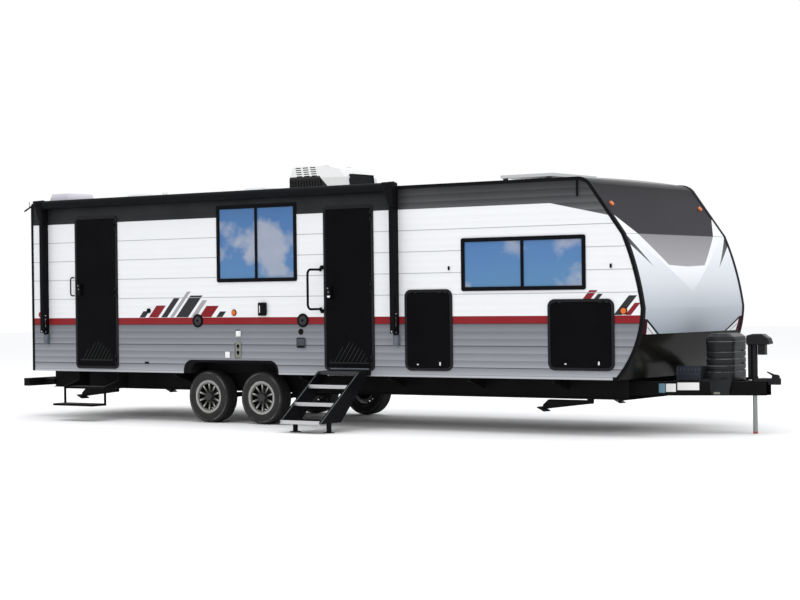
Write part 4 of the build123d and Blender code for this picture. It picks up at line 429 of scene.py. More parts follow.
def wheelFinish():
    # machined spoke faces and lip over black-painted pockets and hub
    look = dict(middle=1.0475, hubRadius=0.0575, lipRadius=0.168, lipDepth=0.070, hubFace=0.067, dish=0.127,
                hubEdge=0.055)
    f = Finish("wheelAlloy", (0.7, 0.7, 0.7), 0.3)
    radius = wheelRadius(f)
    depth = f.less(f.away(f.y), look["middle"])
    faceDepth = f.math("MULTIPLY_ADD", f.less(radius, look["hubEdge"]), look["dish"], look["hubFace"] - 0.0022)
    spokes = f.times(f.over(depth, faceDepth), f.step(radius, look["hubRadius"], 0.0005))
    lip = f.times(f.over(depth, look["lipDepth"]), f.step(radius, look["lipRadius"], 0.0005))
    machined = f.either(spokes, lip)
    turned = f.wave(radius, 0.0016)
    bright = f.ramp(radius, [(0.0, (0.010, 0.010, 0.010)), (0.30, (0.10, 0.10, 0.095)), (0.72, (0.50, 0.50, 0.48)),
                             (0.80, (0.11, 0.105, 0.098)), (0.93, (0.24, 0.235, 0.225)), (1.0, (0.62, 0.62, 0.60))],
                    0.07, 0.187)
    bright = f.mix(f.times(turned, 0.3), bright, (0.20, 0.20, 0.19))
    f.colour(f.mix(machined, f.mix(f.noise(20.0), (0.004, 0.004, 0.004), (0.010, 0.010, 0.009)), bright))
    f.put(machined, f.shader.inputs["Metallic"])
    f.rough(f.math("MULTIPLY_ADD", f.noise(30.0), 0.15, f.math("MULTIPLY_ADD", machined, -0.2, 0.45)))
    f.bump(turned, 0.0002, 0.5)
    return f.material


def coolerFinish():
    # white shroud with a black louvre at the rear of each side and a black inlet in front
    look = dict(white=(0.66, 0.665, 0.67), black=(0.006, 0.006, 0.007), slant=-2.635, louvre=(2.825, 3.045),
                inlet=(2.86, 3.0045), slots=(3.02, 3.18), slotEdge=0.323, slotLean=0.479)
    f = Finish("coolerShroud", look["white"], 0.45, specular=0.2)
    across = f.away(f.y)
    slant = f.under(f.math("ADD", f.x, f.z), look["slant"])
    louvre = f.times(f.band(f.z, *look["louvre"]), f.step(across, 0.300), slant)
    inlet = f.times(f.band(f.x, -5.33, -5.2785), f.under(across, 0.2575), f.band(f.z, *look["inlet"]))
    low, high = look["slots"]
    edge = f.math("ADD", across, f.times(f.less(f.z, low), look["slotLean"]))
    slots = f.times(f.step(f.z, low), f.under(edge, look["slotEdge"]), f.under(f.x, -5.6), f.step(across, 0.2),
                    f.under(f.z, high))
    black = f.either(louvre, inlet, slots)
    grime = f.mix(f.times(f.noise(3.0, 5.0), 0.35), look["white"], (0.60, 0.60, 0.58))
    f.colour(f.mix(black, grime, f.mix(f.noise(8.0), look["black"], (0.014, 0.014, 0.015))))
    return f.skin(9.0, 0.38, 0.55, 320.0, 0.0004)


def roofFittingsFinish():
    # white curbs and pipes, and a smoked skylight at the rear
    f = Finish("roofFittings", (0.8, 0.8, 0.8), 0.4, specular=0.25)
    dome = f.times(f.under(f.x, -9.2), f.under(f.y, -0.4))
    white = f.mix(f.times(f.noise(4.0, 4.0), 0.4), (0.78, 0.78, 0.77), (0.58, 0.58, 0.56))
    smoked = f.ramp(f.z, [(0.0, (0.20, 0.20, 0.24)), (0.55, (0.44, 0.43, 0.49)), (1.0, (0.62, 0.61, 0.66))], 2.82, 2.95)
    f.colour(f.mix(dome, white, smoked))
    return f.skin(12.0, 0.28, 0.5, 260.0, 0.0004)


def tyreFinish():
    f = Finish("tyreRubber", (0.014, 0.014, 0.0145), 0.75, specular=0.25)
    radius = wheelRadius(f)
    # rings on the sidewall made lighter, partly scuffs and partly a painted highlight; blacker tread
    rings = f.either(f.band(radius, 0.286, 0.296, 0.005), f.band(radius, 0.206, 0.213, 0.004))
    scuffsAndHighlights = f.times(rings, f.ramp(f.noise(9.0, 5.0), [(0.42, 0.05), (0.62, 0.9)]))
    rubber = f.mix(f.noise(4.0), (0.011, 0.011, 0.0115), (0.026, 0.0255, 0.0245))
    rubber = f.mix(f.times(f.step(radius, 0.305, 0.008), 0.6), rubber, (0.006, 0.006, 0.006))
    f.colour(f.mix(scuffsAndHighlights, rubber, (0.13, 0.13, 0.126)))
    return f.skin(12.0, 0.62, 0.85, 160.0, 0.0006, 0.6)


def roofFinish():
    f = Finish("roofMembrane", (0.80, 0.80, 0.785), 0.6)
    f.colour(f.mix(f.noise(1.3, 5.0), (0.64, 0.64, 0.625), (0.50, 0.50, 0.485)))
    f.rough(f.noise(6.0), 0.5, 0.75)
    f.bump(f.noise(90.0), 0.0008, 0.5)
    f.bump(f.noise(0.8, 2.0), 0.006, 0.5)
    return f.material


def solarFinish():
    # sheet of dark cells in a pale aluminium border, over black feet
    look = dict(middle=-2.566, half=(0.319, 0.470), sheet=(2.9105, 2.9125), cell=0.0797, line=0.0016, feet=2.879)
    f = Finish("solarCells", (0.012, 0.018, 0.045), 0.12, specular=0.3)
    along = f.less(f.x, look["middle"])
    inside = f.times(f.under(f.away(along), look["half"][0] + 0.0015), f.under(f.away(f.y), look["half"][1] + 0.0015),
                     f.band(f.z, look["sheet"][0] - 0.0015, look["sheet"][1], 0.0002))
    lines = f.either(*(f.under(f.math("PINGPONG", value, look["cell"]), look["line"]) for value in (along, f.y)))
    cells = f.mix(lines, f.mix(f.noise(14.0), (0.010, 0.016, 0.045), (0.022, 0.030, 0.075)), (0.55, 0.57, 0.60))
    border = f.mix(f.noise(6.0, 3.0, (4.0, 4.0, 40.0)), (0.56, 0.57, 0.58), (0.40, 0.41, 0.42))
    border = f.mix(f.under(f.z, look["feet"]), border, (0.010, 0.010, 0.011))
    f.colour(f.mix(inside, border, cells))
    return f.skin(5.0, 0.16, 0.34, 180.0, 0.0002, 0.4)


def lampFinish():
    # red lenses at the tail, amber ones forward of it
    f = Finish("lampLens", (0.7, 0.16, 0.02), 0.15, coat=0.3, specular=0.2)
    amber = f.step(f.x, -7.5)
    f.colour(f.mix(amber, (0.30, 0.006, 0.012), (0.66, 0.13, 0.008)))
    ribs = f.wave(f.math("ADD", f.z, f.times(f.x, 0.6)), 0.006)
    f.rough(ribs, 0.10, 0.28)
    f.bump(ribs, 0.0008, 0.7)
    return f.material


finishes = dict(
    siding=sidingFinish(), cap=capFinish(), pane=windowFinish(), tyre=tyreFinish(), roof=roofFinish(),
    solar=solarFinish(), lens=lampFinish(), nose=noseFinish(), door=doorFinish(),
    wheel=wheelFinish(), cooler=coolerFinish(), fittings=roofFittingsFinish(), cover=coverFinish(),
    trim=grainFinish("blackMoulding", (0.005, 0.005, 0.006), (0.30, 0.46)),
    frameMetal=grainFinish("blackFrame", (0.004, 0.004, 0.005), (0.26, 0.38), 700, 0.0002),
    # door frames in a lighter black than the window frames, a painted highlight for their lit side faces
    doorFrame=grainFinish("doorFrame", (0.008, 0.008, 0.0095), (0.26, 0.38), 700, 0.0002, sheen=0.12),
    chassis=chassisFinish(), battery=grainFinish("batteryLid", (0.030, 0.034, 0.045), (0.32, 0.46), 240, 0.0006),
    labelBlue=grainFinish("labelBlue", (0.13, 0.25, 0.33), (0.35, 0.5), 240, 0.0003, spread=0.7),
    plateBlue=grainFinish("inletGrey", (0.050, 0.055, 0.068), (0.35, 0.5), 240, 0.0004),
    plateGrey=grainFinish("fittingGrey", (0.22, 0.225, 0.19), (0.35, 0.5), 240, 0.0004, spread=0.8),
    cowl=grainFinish("cowlBlack", (0.014, 0.0145, 0.017), (0.35, 0.5), 300, 0.0004),
    redPaint=grainFinish("redTip", (0.42, 0.05, 0.06), (0.3, 0.45), 200, 0.0003, spread=0.8),
    underside=grainFinish("underbelly", (0.010, 0.010, 0.011), (0.6, 0.85), 60, 0.002),
    jackPaint=grainFinish("jackPaint", (0.008, 0.008, 0.009), (0.28, 0.42), 260, 0.0004, sheen=0.14),
    step=grainFinish("stepPaint", (0.006, 0.006, 0.0075), (0.30, 0.50), 380, 0.0005),
    awning=grainFinish("awningVinyl", (0.005, 0.0055, 0.0065), (0.45, 0.62), 520, 0.0004),
    footGrey=grainFinish("armFootGrey", (0.085, 0.10, 0.12), (0.35, 0.5), 400, 0.0003),
    white=grainFinish("whiteMoulding", (0.80, 0.805, 0.80), (0.38, 0.5), 320, 0.0004, spread=0.86),
    smoke=grainFinish("smokedDome", (0.62, 0.64, 0.66), (0.22, 0.34), 200, 0.0003, coat=0.4, spread=0.8),
    alloyLip=steelFinish("turnedLip", (0.50, 0.50, 0.49)),
    nosing=nosingFinish(),
    zinc=steelFinish("zincSteel", (0.27, 0.30, 0.285), (60, 60, 8)),
    chrome=steelFinish("brightSteel", (0.78, 0.79, 0.80), (30, 30, 30), (0.08, 0.18)),
    label=grainFinish("blankLabel", (0.80, 0.80, 0.79), (0.35, 0.45), 200, 0.0001, spread=0.92),
    darkSteel=grainFinish("darkNuts", (0.03, 0.03, 0.032), (0.25, 0.38), 300, 0.0002, metal=0.6, coat=0.2),
    mesh=grainFinish("speakerMesh", (0.03, 0.03, 0.032), (0.5, 0.7), 900, 0.002),
)
nodeFinish = dict(
    siding="wall_door_side wall_off_side wall_rear", cap="front_cap", nose="front_panel", roof="roof",
    door="entry_door rear_door hatch_middle hatch_front hatch_off", doorFrame="door_frames hatch_frames",
    pane="window_glass", frameMetal="window_frames grab_handle handle_brackets awning_arms",
    trim="edge_trims wall_fittings", underside="floor",
    chassis="main_rails crossmembers tongue_beams rear_bumper axles leaf_springs spring_hangers "
            "stabilizer_mounts rear_step_frame rear_step stabilizer_front_door stabilizer_front_off "
            "stabilizer_rear_door stabilizer_rear_off",
    cover="gas_cover", jackPaint="tongue_jack coupler", battery="battery_box",
    step="entry_steps step_mount", nosing="step_nosings", zinc="jack_leg",
    awning="awning_roll", cooler="air_conditioner", fittings="roof_fittings", smoke="vent_lid_1 vent_lid_2",
    solar="solar_panel", lens="lamps", tyre="tyre_front_door tyre_front_off tyre_rear_door tyre_rear_off",
    wheel="rim_front_door rim_front_off rim_rear_door rim_rear_off",
)
for finish, names in nodeFinish.items():
    for name in names.split():
        for slot in nodes[name].material_slots:
            slot.material = finishes[finish]
print("materials on", len(nodes), "solids")

wallFace = 1.219


def finishMesh(mesh, name, finish, body="caravan", slot="black_trim", replaced=(), smooth=32):
    # joins, shades and places one finished piece
    bmesh.ops.recalc_face_normals(mesh, faces=mesh.faces)
    for face in mesh.faces:
        face.smooth = True
    for edge in mesh.edges:
        edge.smooth = edge.calc_face_angle(0) < radians(smooth)
    data = bpy.data.meshes.new(name)
    mesh.to_mesh(data)
    mesh.free()
    data.materials.append(finishes[finish])
    thing = addThing(name, data)
    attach(thing, body)
    if replaced:
        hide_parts(*replaced)


def fresh(mesh, before):
    # the vertices that weren't there before
    return [vert for vert in mesh.verts if vert not in before]


def shiftVerts(mesh, verts, place, turn=None):
    if turn:
        bmesh.ops.rotate(mesh, verts=verts, matrix=turn)
    bmesh.ops.translate(mesh, verts=verts, vec=place)


def bevelAll(mesh, edges, width, segments):
    bmesh.ops.bevel(mesh, geom=edges, offset=width, segments=segments, affect="EDGES", profile=0.5, material=-1)


def addBlock(mesh, middle, size, edge=0.002, turn=None, segments=2):
    # bevelled block
    before = set(mesh.verts)
    verts = bmesh.ops.create_cube(mesh, size=1)["verts"]
    bmesh.ops.scale(mesh, verts=verts, vec=size)
    if edge:
        bevelAll(mesh, list({link for vert in verts for link in vert.link_edges}), edge, segments)
    shiftVerts(mesh, fresh(mesh, before), middle, turn)


def addDisc(mesh, place, toward, radius, depth, edge=0.0, sides=32, tip=None):
    # round of this depth that stands on its place and points in a direction
    before = set(mesh.verts)
    verts = bmesh.ops.create_cone(mesh, cap_ends=True, segments=sides, radius1=radius,
                                  radius2=radius if tip is None else tip, depth=depth)["verts"]
    if edge:
        upper = [link for link in {e for vert in verts for e in vert.link_edges} if min(v.co.z for v in link.verts) > 0]
        bevelAll(mesh, upper, edge, 3)
    verts = fresh(mesh, before)
    bmesh.ops.translate(mesh, verts=verts, vec=(0, 0, depth / 2))
    shiftVerts(mesh, verts, place, Vector(toward).to_track_quat("Z", "Y").to_matrix())


def addRing(mesh, place, toward, profile, steps=48):
    # closed profile of (radius, height) points spun about a direction through its place
    before = set(mesh.verts)
    points = [mesh.verts.new((radius, 0, height)) for radius, height in profile]
    links = [mesh.edges.new(pair) for pair in zip(points, points[1:] + points[:1])]
    bmesh.ops.spin(
        mesh, geom=points + links, axis=(0, 0, 1), cent=(0, 0, 0), steps=steps, angle=2 * pi, use_merge=True)
    shiftVerts(mesh, fresh(mesh, before), place, Vector(toward).to_track_quat("Z", "Y").to_matrix())


def addTaper(mesh, size, foot, lean=(0, 0, 0)):
    # block whose lower end is scaled and pushed aside; its vertices stay at the origin
    verts = bmesh.ops.create_cube(mesh, size=1)["verts"]
    bmesh.ops.scale(mesh, verts=verts, vec=size)
    lower = [vert for vert in verts if vert.co.z < 0]
    bmesh.ops.scale(mesh, verts=lower, vec=foot)
    bmesh.ops.translate(mesh, verts=lower, vec=lean)
    return verts


def addRows(mesh, place, rows, outward=1):
    # blocks in rows of (offset, size, edge) about one place; outward -1 mirrors the offsets in y
    for (x, y, z), size, edge in rows:
        addBlock(mesh, (place[0] + x, place[1] + outward * y, place[2] + z), size, edge)


def rowPiece(name, finish, rows, place=(0, 0, 0), outward=1, **riding):
    # a piece made of rows of blocks alone
    mesh = bmesh.new()
    addRows(mesh, place, rows, outward)
    finishMesh(mesh, name, finish, **riding)


def addRod(mesh, ends, radius, sides=16, edge=0.001):
    start, end = Vector(ends[0]), Vector(ends[1])
    addDisc(mesh, start, end - start, radius, (end - start).length, edge, sides)


# tyres with their tread cut into blocks
tyres = dict(
    stations=dict(rear=-6.829, front=-5.980), middle=1.0475, height=0.325, steps=240, blockSteps=5, blockCut=0.0065,
    # half of the section, from the bead over the sidewall to the middle of the tread: (across, radius)
    section=[(0.0800, 0.1862), (0.0885, 0.1950), (0.0938, 0.2035), (0.0938, 0.2075), (0.0968, 0.2120), (0.0986, 0.2210),
             (0.0992, 0.2240), (0.1006, 0.2262), (0.1020, 0.2450), (0.1022, 0.2620), (0.1012, 0.2790), (0.0998, 0.2850),
             (0.1002, 0.2874), (0.0990, 0.2892), (0.0972, 0.3010), (0.0950, 0.3080), (0.0905, 0.3150), (0.0840, 0.3192),
             (0.0770, 0.3212), (0.0560, 0.3226), (0.0545, 0.3150), (0.0455, 0.3150), (0.0440, 0.3232), (0.0170, 0.3242),
             (0.0155, 0.3160), (0.0065, 0.3160), (0.0050, 0.3245)],
)
wheels = [(station + "_" + side, x, sign) for station, x in tyres["stations"].items()
          for side, sign in (("door", -1), ("off", 1))]
for wheel, x, sign in wheels:
    mesh = bmesh.new()
    outline = tyres["section"] + [(-across, radius) for across, radius in reversed(tyres["section"])]
    points = [mesh.verts.new((0, across, radius)) for across, radius in outline]
    links = [mesh.edges.new(pair) for pair in zip(points, points[1:] + points[:1])]
    bmesh.ops.spin(mesh, geom=points + links, axis=(0, 1, 0), cent=(0, 0, 0), steps=tyres["steps"], angle=2 * pi,
                   use_merge=True)
    # cross grooves part the shoulder and middle ribs into blocks
    for vert in mesh.verts:
        radius = (vert.co.x ** 2 + vert.co.z ** 2) ** 0.5
        across = abs(vert.co.y)
        turn = round(atan2(vert.co.x, vert.co.z) / (2 * pi / tyres["steps"]))
        lead = turn + (2 if across < 0.03 else 0)
        if radius > 0.3185 and lead % tyres["blockSteps"] == 0 and not 0.043 < across < 0.057:
            vert.co.x *= 1 - tyres["blockCut"] / radius
            vert.co.z *= 1 - tyres["blockCut"] / radius
    bmesh.ops.translate(mesh, verts=mesh.verts, vec=(x, sign * tyres["middle"], tyres["height"]))
    finishMesh(mesh, "treadedTyre_" + wheel, "tyre", "wheel_" + wheel, "tyre_rubber", ["tyre_" + wheel], 24)

# nuts, hub cap and valve of each wheel
wheelTrim = dict(
    nuts=6, nutCircle=0.0645, nutRadius=0.0085, discFace=0.0645, capFace=0.085, valveCircle=0.168, valveFace=0.058,
    cap=[(0.0535, 0.0), (0.0535, 0.006), (0.0495, 0.0125), (0.0455, 0.0125), (0.0435, 0.0105), (0.0435, 0.0)],
    # (start off the cap's plane, radius, depth, edge, sides) of its face and boss
    discs=((-0.002, 0.040, 0.005, 0.002, 40), (0.002, 0.014, 0.004, 0.0015, 24)),
)


def wheelDisc(mesh, x, sign, depth, disc, across=0, lift=0):
    # disc on a wheel's outer side, this far off the tyre's middle
    radius, thick, edge, sides = disc
    place = (x + across, sign * (tyres["middle"] + depth), tyres["height"] + lift)
    addDisc(mesh, place, (0, sign, 0), radius, thick, edge, sides)


for wheel, x, sign in wheels:
    mesh = bmesh.new()
    for index in range(wheelTrim["nuts"]):
        turn = 2 * pi * (index + 0.5) / wheelTrim["nuts"]
        across, lift = wheelTrim["nutCircle"] * sin(turn), wheelTrim["nutCircle"] * cos(turn)
        wheelDisc(mesh, x, sign, wheelTrim["discFace"], (wheelTrim["nutRadius"], 0.018, 0.002, 6), across, lift)
    cap = tyres["middle"] + wheelTrim["capFace"] - 0.010
    addRing(mesh, (x, sign * cap, tyres["height"]), (0, sign, 0), wheelTrim["cap"], 40)
    for away, *disc in wheelTrim["discs"]:
        wheelDisc(mesh, x, sign, wheelTrim["capFace"] + away, disc)
    wheelDisc(mesh, x, sign, wheelTrim["valveFace"], (0.004, 0.026, 0.001, 12), wheelTrim["valveCircle"])
    finishMesh(mesh, "wheelTrim_" + wheel, "darkSteel", "wheel_" + wheel)
print("tyres and wheel trim")

# door locks, each a paddle over two cylinders
locks = dict(
    entry=dict(body="entry_door", x=-4.839, z=1.591), rear=dict(body="rear_door", x=-8.914, z=1.674),
    face=-wallFace - 0.040, paddle=(0.022, 0.010, 0.040), cylinders=((-0.014, 0.052), (-0.004, 0.006)),
    plates=(((0, -0.0035, 0), (0.052, 0.009, 0.140), 0.004), ((0, -0.0085, -0.046), (0.040, 0.003, 0.030), 0.001)),
    label=((0.001, -0.0105, -0.046), (0.038, 0.0016, 0.022), 0.0006),
)
for name in ("entry", "rear"):
    lock = locks[name]
    x, face, z = lock["x"], locks["face"], lock["z"]
    mesh = bmesh.new()
    addRows(mesh, (x, face, z), locks["plates"])
    addBlock(mesh, (x + 0.012, face - 0.010, z + 0.040), locks["paddle"], 0.003, Matrix.Rotation(radians(-4), 3, "X"))
    finishMesh(mesh, name + "LockPaddle", "trim", lock["body"])
    mesh = bmesh.new()
    for across, lift in locks["cylinders"]:
        addDisc(mesh, (x + across, face - 0.006, z + lift), (0, -1, 0), 0.0095, 0.006, 0.0015, 24)
        addBlock(mesh, (x + across, face - 0.0125, z + lift), (0.0016, 0.001, 0.008), 0)
    finishMesh(mesh, name + "LockCylinders", "zinc", lock["body"], "alloy")
place = (locks["entry"]["x"], locks["face"], locks["entry"]["z"])
rowPiece("entryDoorLabel", "label", (locks["label"],), place, body="entry_door", slot="white_plastic")

# sill under the entry door
sill = ((-4.568, -1.2280, 0.697), (0.560, 0.018, 0.018), 0.004)
rowPiece("entrySill", "footGrey", (sill,), slot="step_metal")

# hatch latches: a round lock and a thumb latch with its tail at each hatch
latches = dict(
    hatch_middle=((-3.596, 0.764), (-3.284, 0.786)), hatch_front=((-1.650, 0.789), (-1.232, 0.811)),
    hatch_off=((-1.650, 0.789), (-1.232, 0.811)), face=1.231,
    rim=[(0.0145, 0), (0.0145, 0.003), (0.0125, 0.005), (0.009, 0.005), (0.009, 0)],
    thumb=(((0, 0.006, -0.016), (0.022, 0.012, 0.040), 0.004), ((0.002, 0.0125, -0.004), (0.014, 0.003, 0.014), 0.001)),
    tail=(((0, 0.004, -0.052), (0.007, 0.006, 0.044), 0.002),),
)
for body in ("hatch_middle", "hatch_front", "hatch_off"):
    sign = 1 if body == "hatch_off" else -1
    face = sign * latches["face"]
    (lockX, lockZ), (thumbX, thumbZ) = latches[body]
    mesh = bmesh.new()
    addRing(mesh, (lockX, face, lockZ), (0, sign, 0), latches["rim"])
    addDisc(mesh, (lockX, face, lockZ), (0, sign, 0), 0.009, 0.004, 0.001, 24)
    addRows(mesh, (thumbX, face, thumbZ), latches["thumb"], sign)
    finishMesh(mesh, body + "_latches", "chrome", body, "alloy")
    rowPiece(body + "_latchTail", "trim", latches["tail"], (thumbX, face, thumbZ), sign, body=body)
print("locks and latches")

# side mouldings with their run under the wall taken off, so the planks reach down to the frame
trimCut = dict(rear=-9.780, front=-1.075, top=0.6474)
mesh = bmesh.new()
mesh.from_mesh(nodes["edge_trims"].data)
bmesh.ops.remove_doubles(mesh, verts=mesh.verts, dist=0.00002)
planes = (((trimCut["rear"], 0, 0), (1, 0, 0)), ((trimCut["front"], 0, 0), (1, 0, 0)),
          ((0, 0, trimCut["top"]), (0, 0, 1)))
for place, toward in planes:
    whole = mesh.verts[:] + mesh.edges[:] + mesh.faces[:]
    bmesh.ops.bisect_plane(mesh, geom=whole, dist=0.00001, plane_co=place, plane_no=toward)
middles = ((face, face.calc_center_median()) for face in mesh.faces)
cut = [face for face, middle in middles if trimCut["rear"] < middle.x < trimCut["front"] and middle.z < trimCut["top"]]
bmesh.ops.delete(mesh, geom=cut, context="FACES")
bmesh.ops.holes_fill(mesh, edges=[edge for edge in mesh.edges if edge.is_boundary], sides=12)
finishMesh(mesh, "sideMouldings", "trim", replaced=["edge_trims"], smooth=30)

# flat moulding round each wheel arch
archTrim = dict(rear=-7.160, front=-5.645, bottom=0.615, top=0.782, radius=0.135, width=0.030, rearWidth=0.128,
                depth=0.006, face=1.2215)
for sign in (-1, 1):
    mesh = bmesh.new()
    size = (archTrim["front"] - archTrim["rear"], archTrim["top"] - archTrim["bottom"])
    verts = bmesh.ops.create_grid(mesh, x_segments=1, y_segments=1, size=0.5)["verts"]
    bmesh.ops.scale(mesh, verts=verts, vec=(*size, 1))
    bmesh.ops.bevel(mesh, geom=[v for v in verts if v.co.y > 0], offset=archTrim["radius"], segments=10,
                    affect="VERTICES", profile=0.5, material=-1)
    opening = max(mesh.faces, key=lambda face: face.calc_area())
    bmesh.ops.inset_region(mesh, faces=[opening], thickness=archTrim["width"], use_boundary=True, use_even_offset=True)
    opening = max(mesh.faces, key=lambda face: face.calc_area())
    rearSide = [v for v in opening.verts if v.co.x < 0]
    bmesh.ops.translate(mesh, verts=rearSide, vec=(archTrim["rearWidth"] - archTrim["width"], 0, 0))
    # the strip along the bottom goes, and the two legs reach down in its place
    foot = -size[1] / 2
    strip = foot + archTrim["width"] + 0.002
    gone = [face for face in mesh.faces if face == opening or all(v.co.y < strip for v in face.verts)]
    bmesh.ops.delete(mesh, geom=gone, context="FACES")
    for v in mesh.verts:
        if v.co.y < strip:
            v.co.y = foot
    bmesh.ops.solidify(mesh, geom=mesh.faces[:], thickness=archTrim["depth"])
    middle, middleZ = (archTrim["rear"] + archTrim["front"]) / 2, (archTrim["bottom"] + archTrim["top"]) / 2
    place = (middle, sign * archTrim["face"], middleZ)
    shiftVerts(mesh, mesh.verts[:], place, Matrix.Rotation(radians(90), 3, "X"))
    finishMesh(mesh, "archMoulding_" + ("door" if sign < 0 else "off"), "trim")

# rolled flange of each wheel over the tyre's bead, and the brake drum inside it
flange = [(0.1800, 0.060), (0.1880, 0.0890), (0.1905, 0.0935), (0.1995, 0.0965), (0.2015, 0.0955), (0.2015, 0.0915),
          (0.1990, 0.0900), (0.1920, 0.0860), (0.1840, 0.060)]
# (start off the tyre's middle, radius, depth, edge, sides) of the drum and of its hub
drums = ((-0.0855, 0.150, 0.062, 0.006, 64), (-0.0235, 0.052, 0.051, 0.004, 40))
for wheel, x, sign in wheels:
    mesh = bmesh.new()
    addRing(mesh, (x, sign * tyres["middle"], tyres["height"]), (0, sign, 0), flange, 96)
    finishMesh(mesh, "wheelFlange_" + wheel, "alloyLip", "wheel_" + wheel, "alloy")
    mesh = bmesh.new()
    for away, *disc in drums:
        wheelDisc(mesh, x, sign, away, disc)
    finishMesh(mesh, "brakeDrum_" + wheel, "darkSteel", "wheel_" + wheel, "chassis_paint")
print("mouldings and flanges")

# utility fittings on the door side, under and over the stripe; a place is (x, z, width, height)
utility = dict(
    face=-1.2270, white=((-6.262, 1.107, 0.076, 0.070), (-6.435, 0.848, 0.074, 0.078)),
    inlet=(-5.285, 0.994, 0.124, 0.112), hood=((0, -0.010, -0.040), (0.0992, 0.008, 0.022), 0.002),
    shower=(-6.266, 0.912), showerPlate=((0, -0.002, 0), (0.086, 0.005, 0.196), 0.002), taps=(-0.035, 0.045),
    lever=((0.004, -0.012, -0.016), (0.014, 0.006, 0.034), 0.002),
    # the outlet's plate, flap and bright strip
    outlet=(-5.868, 1.398), plates=(((0, -0.0205, 0), (0.126, 0.003, 0.148), 0.001),
                                    ((0.012, -0.0230, 0), (0.072, 0.004, 0.112), 0.0015)),
    strip=((-0.036, -0.0230, 0.006), (0.010, 0.003, 0.086), 0.001),
    speakers=((-6.916, 1.266), (-5.262, 1.266)),
    speakerRim=[(0.0745, 0), (0.0745, 0.007), (0.0700, 0.0105), (0.0630, 0.0105), (0.0600, 0.006), (0.0600, 0)],
)
wall = utility["face"]


def addCover(mesh, place, lift, share, proud):
    # bevelled flange with a lid moved up by a lift, of a share of its width and this proud
    x, z, width, height = place
    addRows(mesh, (x, wall, z), (((0, -proud + 0.004, 0), (width, 0.006, height), 0.0028),
                                 ((0, -proud, lift), (width * share, 0.004, height * 0.62), 0.0018)))


mesh = bmesh.new()
for place in utility["white"]:
    addCover(mesh, place, -0.004, 0.72, 0.006)
finishMesh(mesh, "whiteInlets", "white", slot="white_plastic")
mesh = bmesh.new()
addCover(mesh, utility["inlet"], 0.010, 0.84, 0.007)
finishMesh(mesh, "powerInlet", "plateBlue")
mesh = bmesh.new()
addRows(mesh, (utility["inlet"][0], wall, utility["inlet"][1]), (utility["hood"],))
x, z = utility["shower"]
for drop in utility["taps"]:
    addDisc(mesh, (x + 0.002, wall - 0.005, z + drop), (0, -1, 0), 0.021, 0.008, 0.002, 24)
    addRows(mesh, (x, wall, z + drop), (utility["lever"],))
outlet = (utility["outlet"][0], wall, utility["outlet"][1])
addRows(mesh, outlet, utility["plates"])
finishMesh(mesh, "utilityHardware", "trim")
rowPiece("showerPlate", "plateGrey", (utility["showerPlate"],), (x, wall, z), slot="white_plastic")
rowPiece("outletStrip", "label", (utility["strip"],), outlet, slot="white_plastic")
for index, (x, z) in enumerate(utility["speakers"]):
    mesh = bmesh.new()
    addRing(mesh, (x, wall + 0.001, z), (0, -1, 0), utility["speakerRim"], 64)
    addDisc(mesh, (x, wall - 0.003, z), (0, -1, 0), 0.017, 0.006, 0.003, 32)
    finishMesh(mesh, "speakerRing" + str(index + 1), "trim")
    mesh = bmesh.new()
    addDisc(mesh, (x, wall - 0.001, z), (0, -1, 0), 0.0605, 0.004, 0, 48, 0.050)
    finishMesh(mesh, "speakerMesh" + str(index + 1), "mesh")
lampRings = dict(stations=((-9.658, 1.353), (-6.332, 1.363), (-0.932, 1.356)),
                 rim=[(0.0405, 0), (0.0405, 0.005), (0.037, 0.008), (0.032, 0.008), (0.0305, 0.004), (0.0305, 0)])
mesh = bmesh.new()
for x, z in lampRings["stations"]:
    for sign in (-1, 1):
        addRing(mesh, (x, sign * wallFace, z), (0, sign, 0), lampRings["rim"], 40)
finishMesh(mesh, "lampRings", "trim")
print("utility fittings")

# awning arms: end brackets, sliding slots, feet and the rear spout
arms = dict(
    stations=(-9.537, -3.887), outer=-1.324, half=0.029, middle=-1.286, slot=(1.190, 1.300), studs=(1.125, 1.340),
    foot=((0.010, -1.2455, 1.032), (0.062, 0.056, 0.126), 0.008), footStud=(0.010, -1.2735, 0.990),
    bracket=dict(back=0.118, front=0.036, high=2.850, low=2.560, deep=0.150, sunk=0.0005, edge=0.022),
    bracketFoot=((0.45, 0.80, 1), (0.045, 0.014, 0)), knob=(-0.045, -1.368, 2.790),
)
spout = dict(start=(-9.770, -1.222, 2.806), end=(-9.938, -1.222, 2.728), radius=0.011,
             hanger=((-9.845, -1.222, 2.771), (-9.850, -1.222, 2.850)), seat=(-9.765, -1.2225, 2.800))
slots, studs, feet, brackets = bmesh.new(), bmesh.new(), bmesh.new(), bmesh.new()
low, high = arms["slot"]
plate = arms["bracket"]
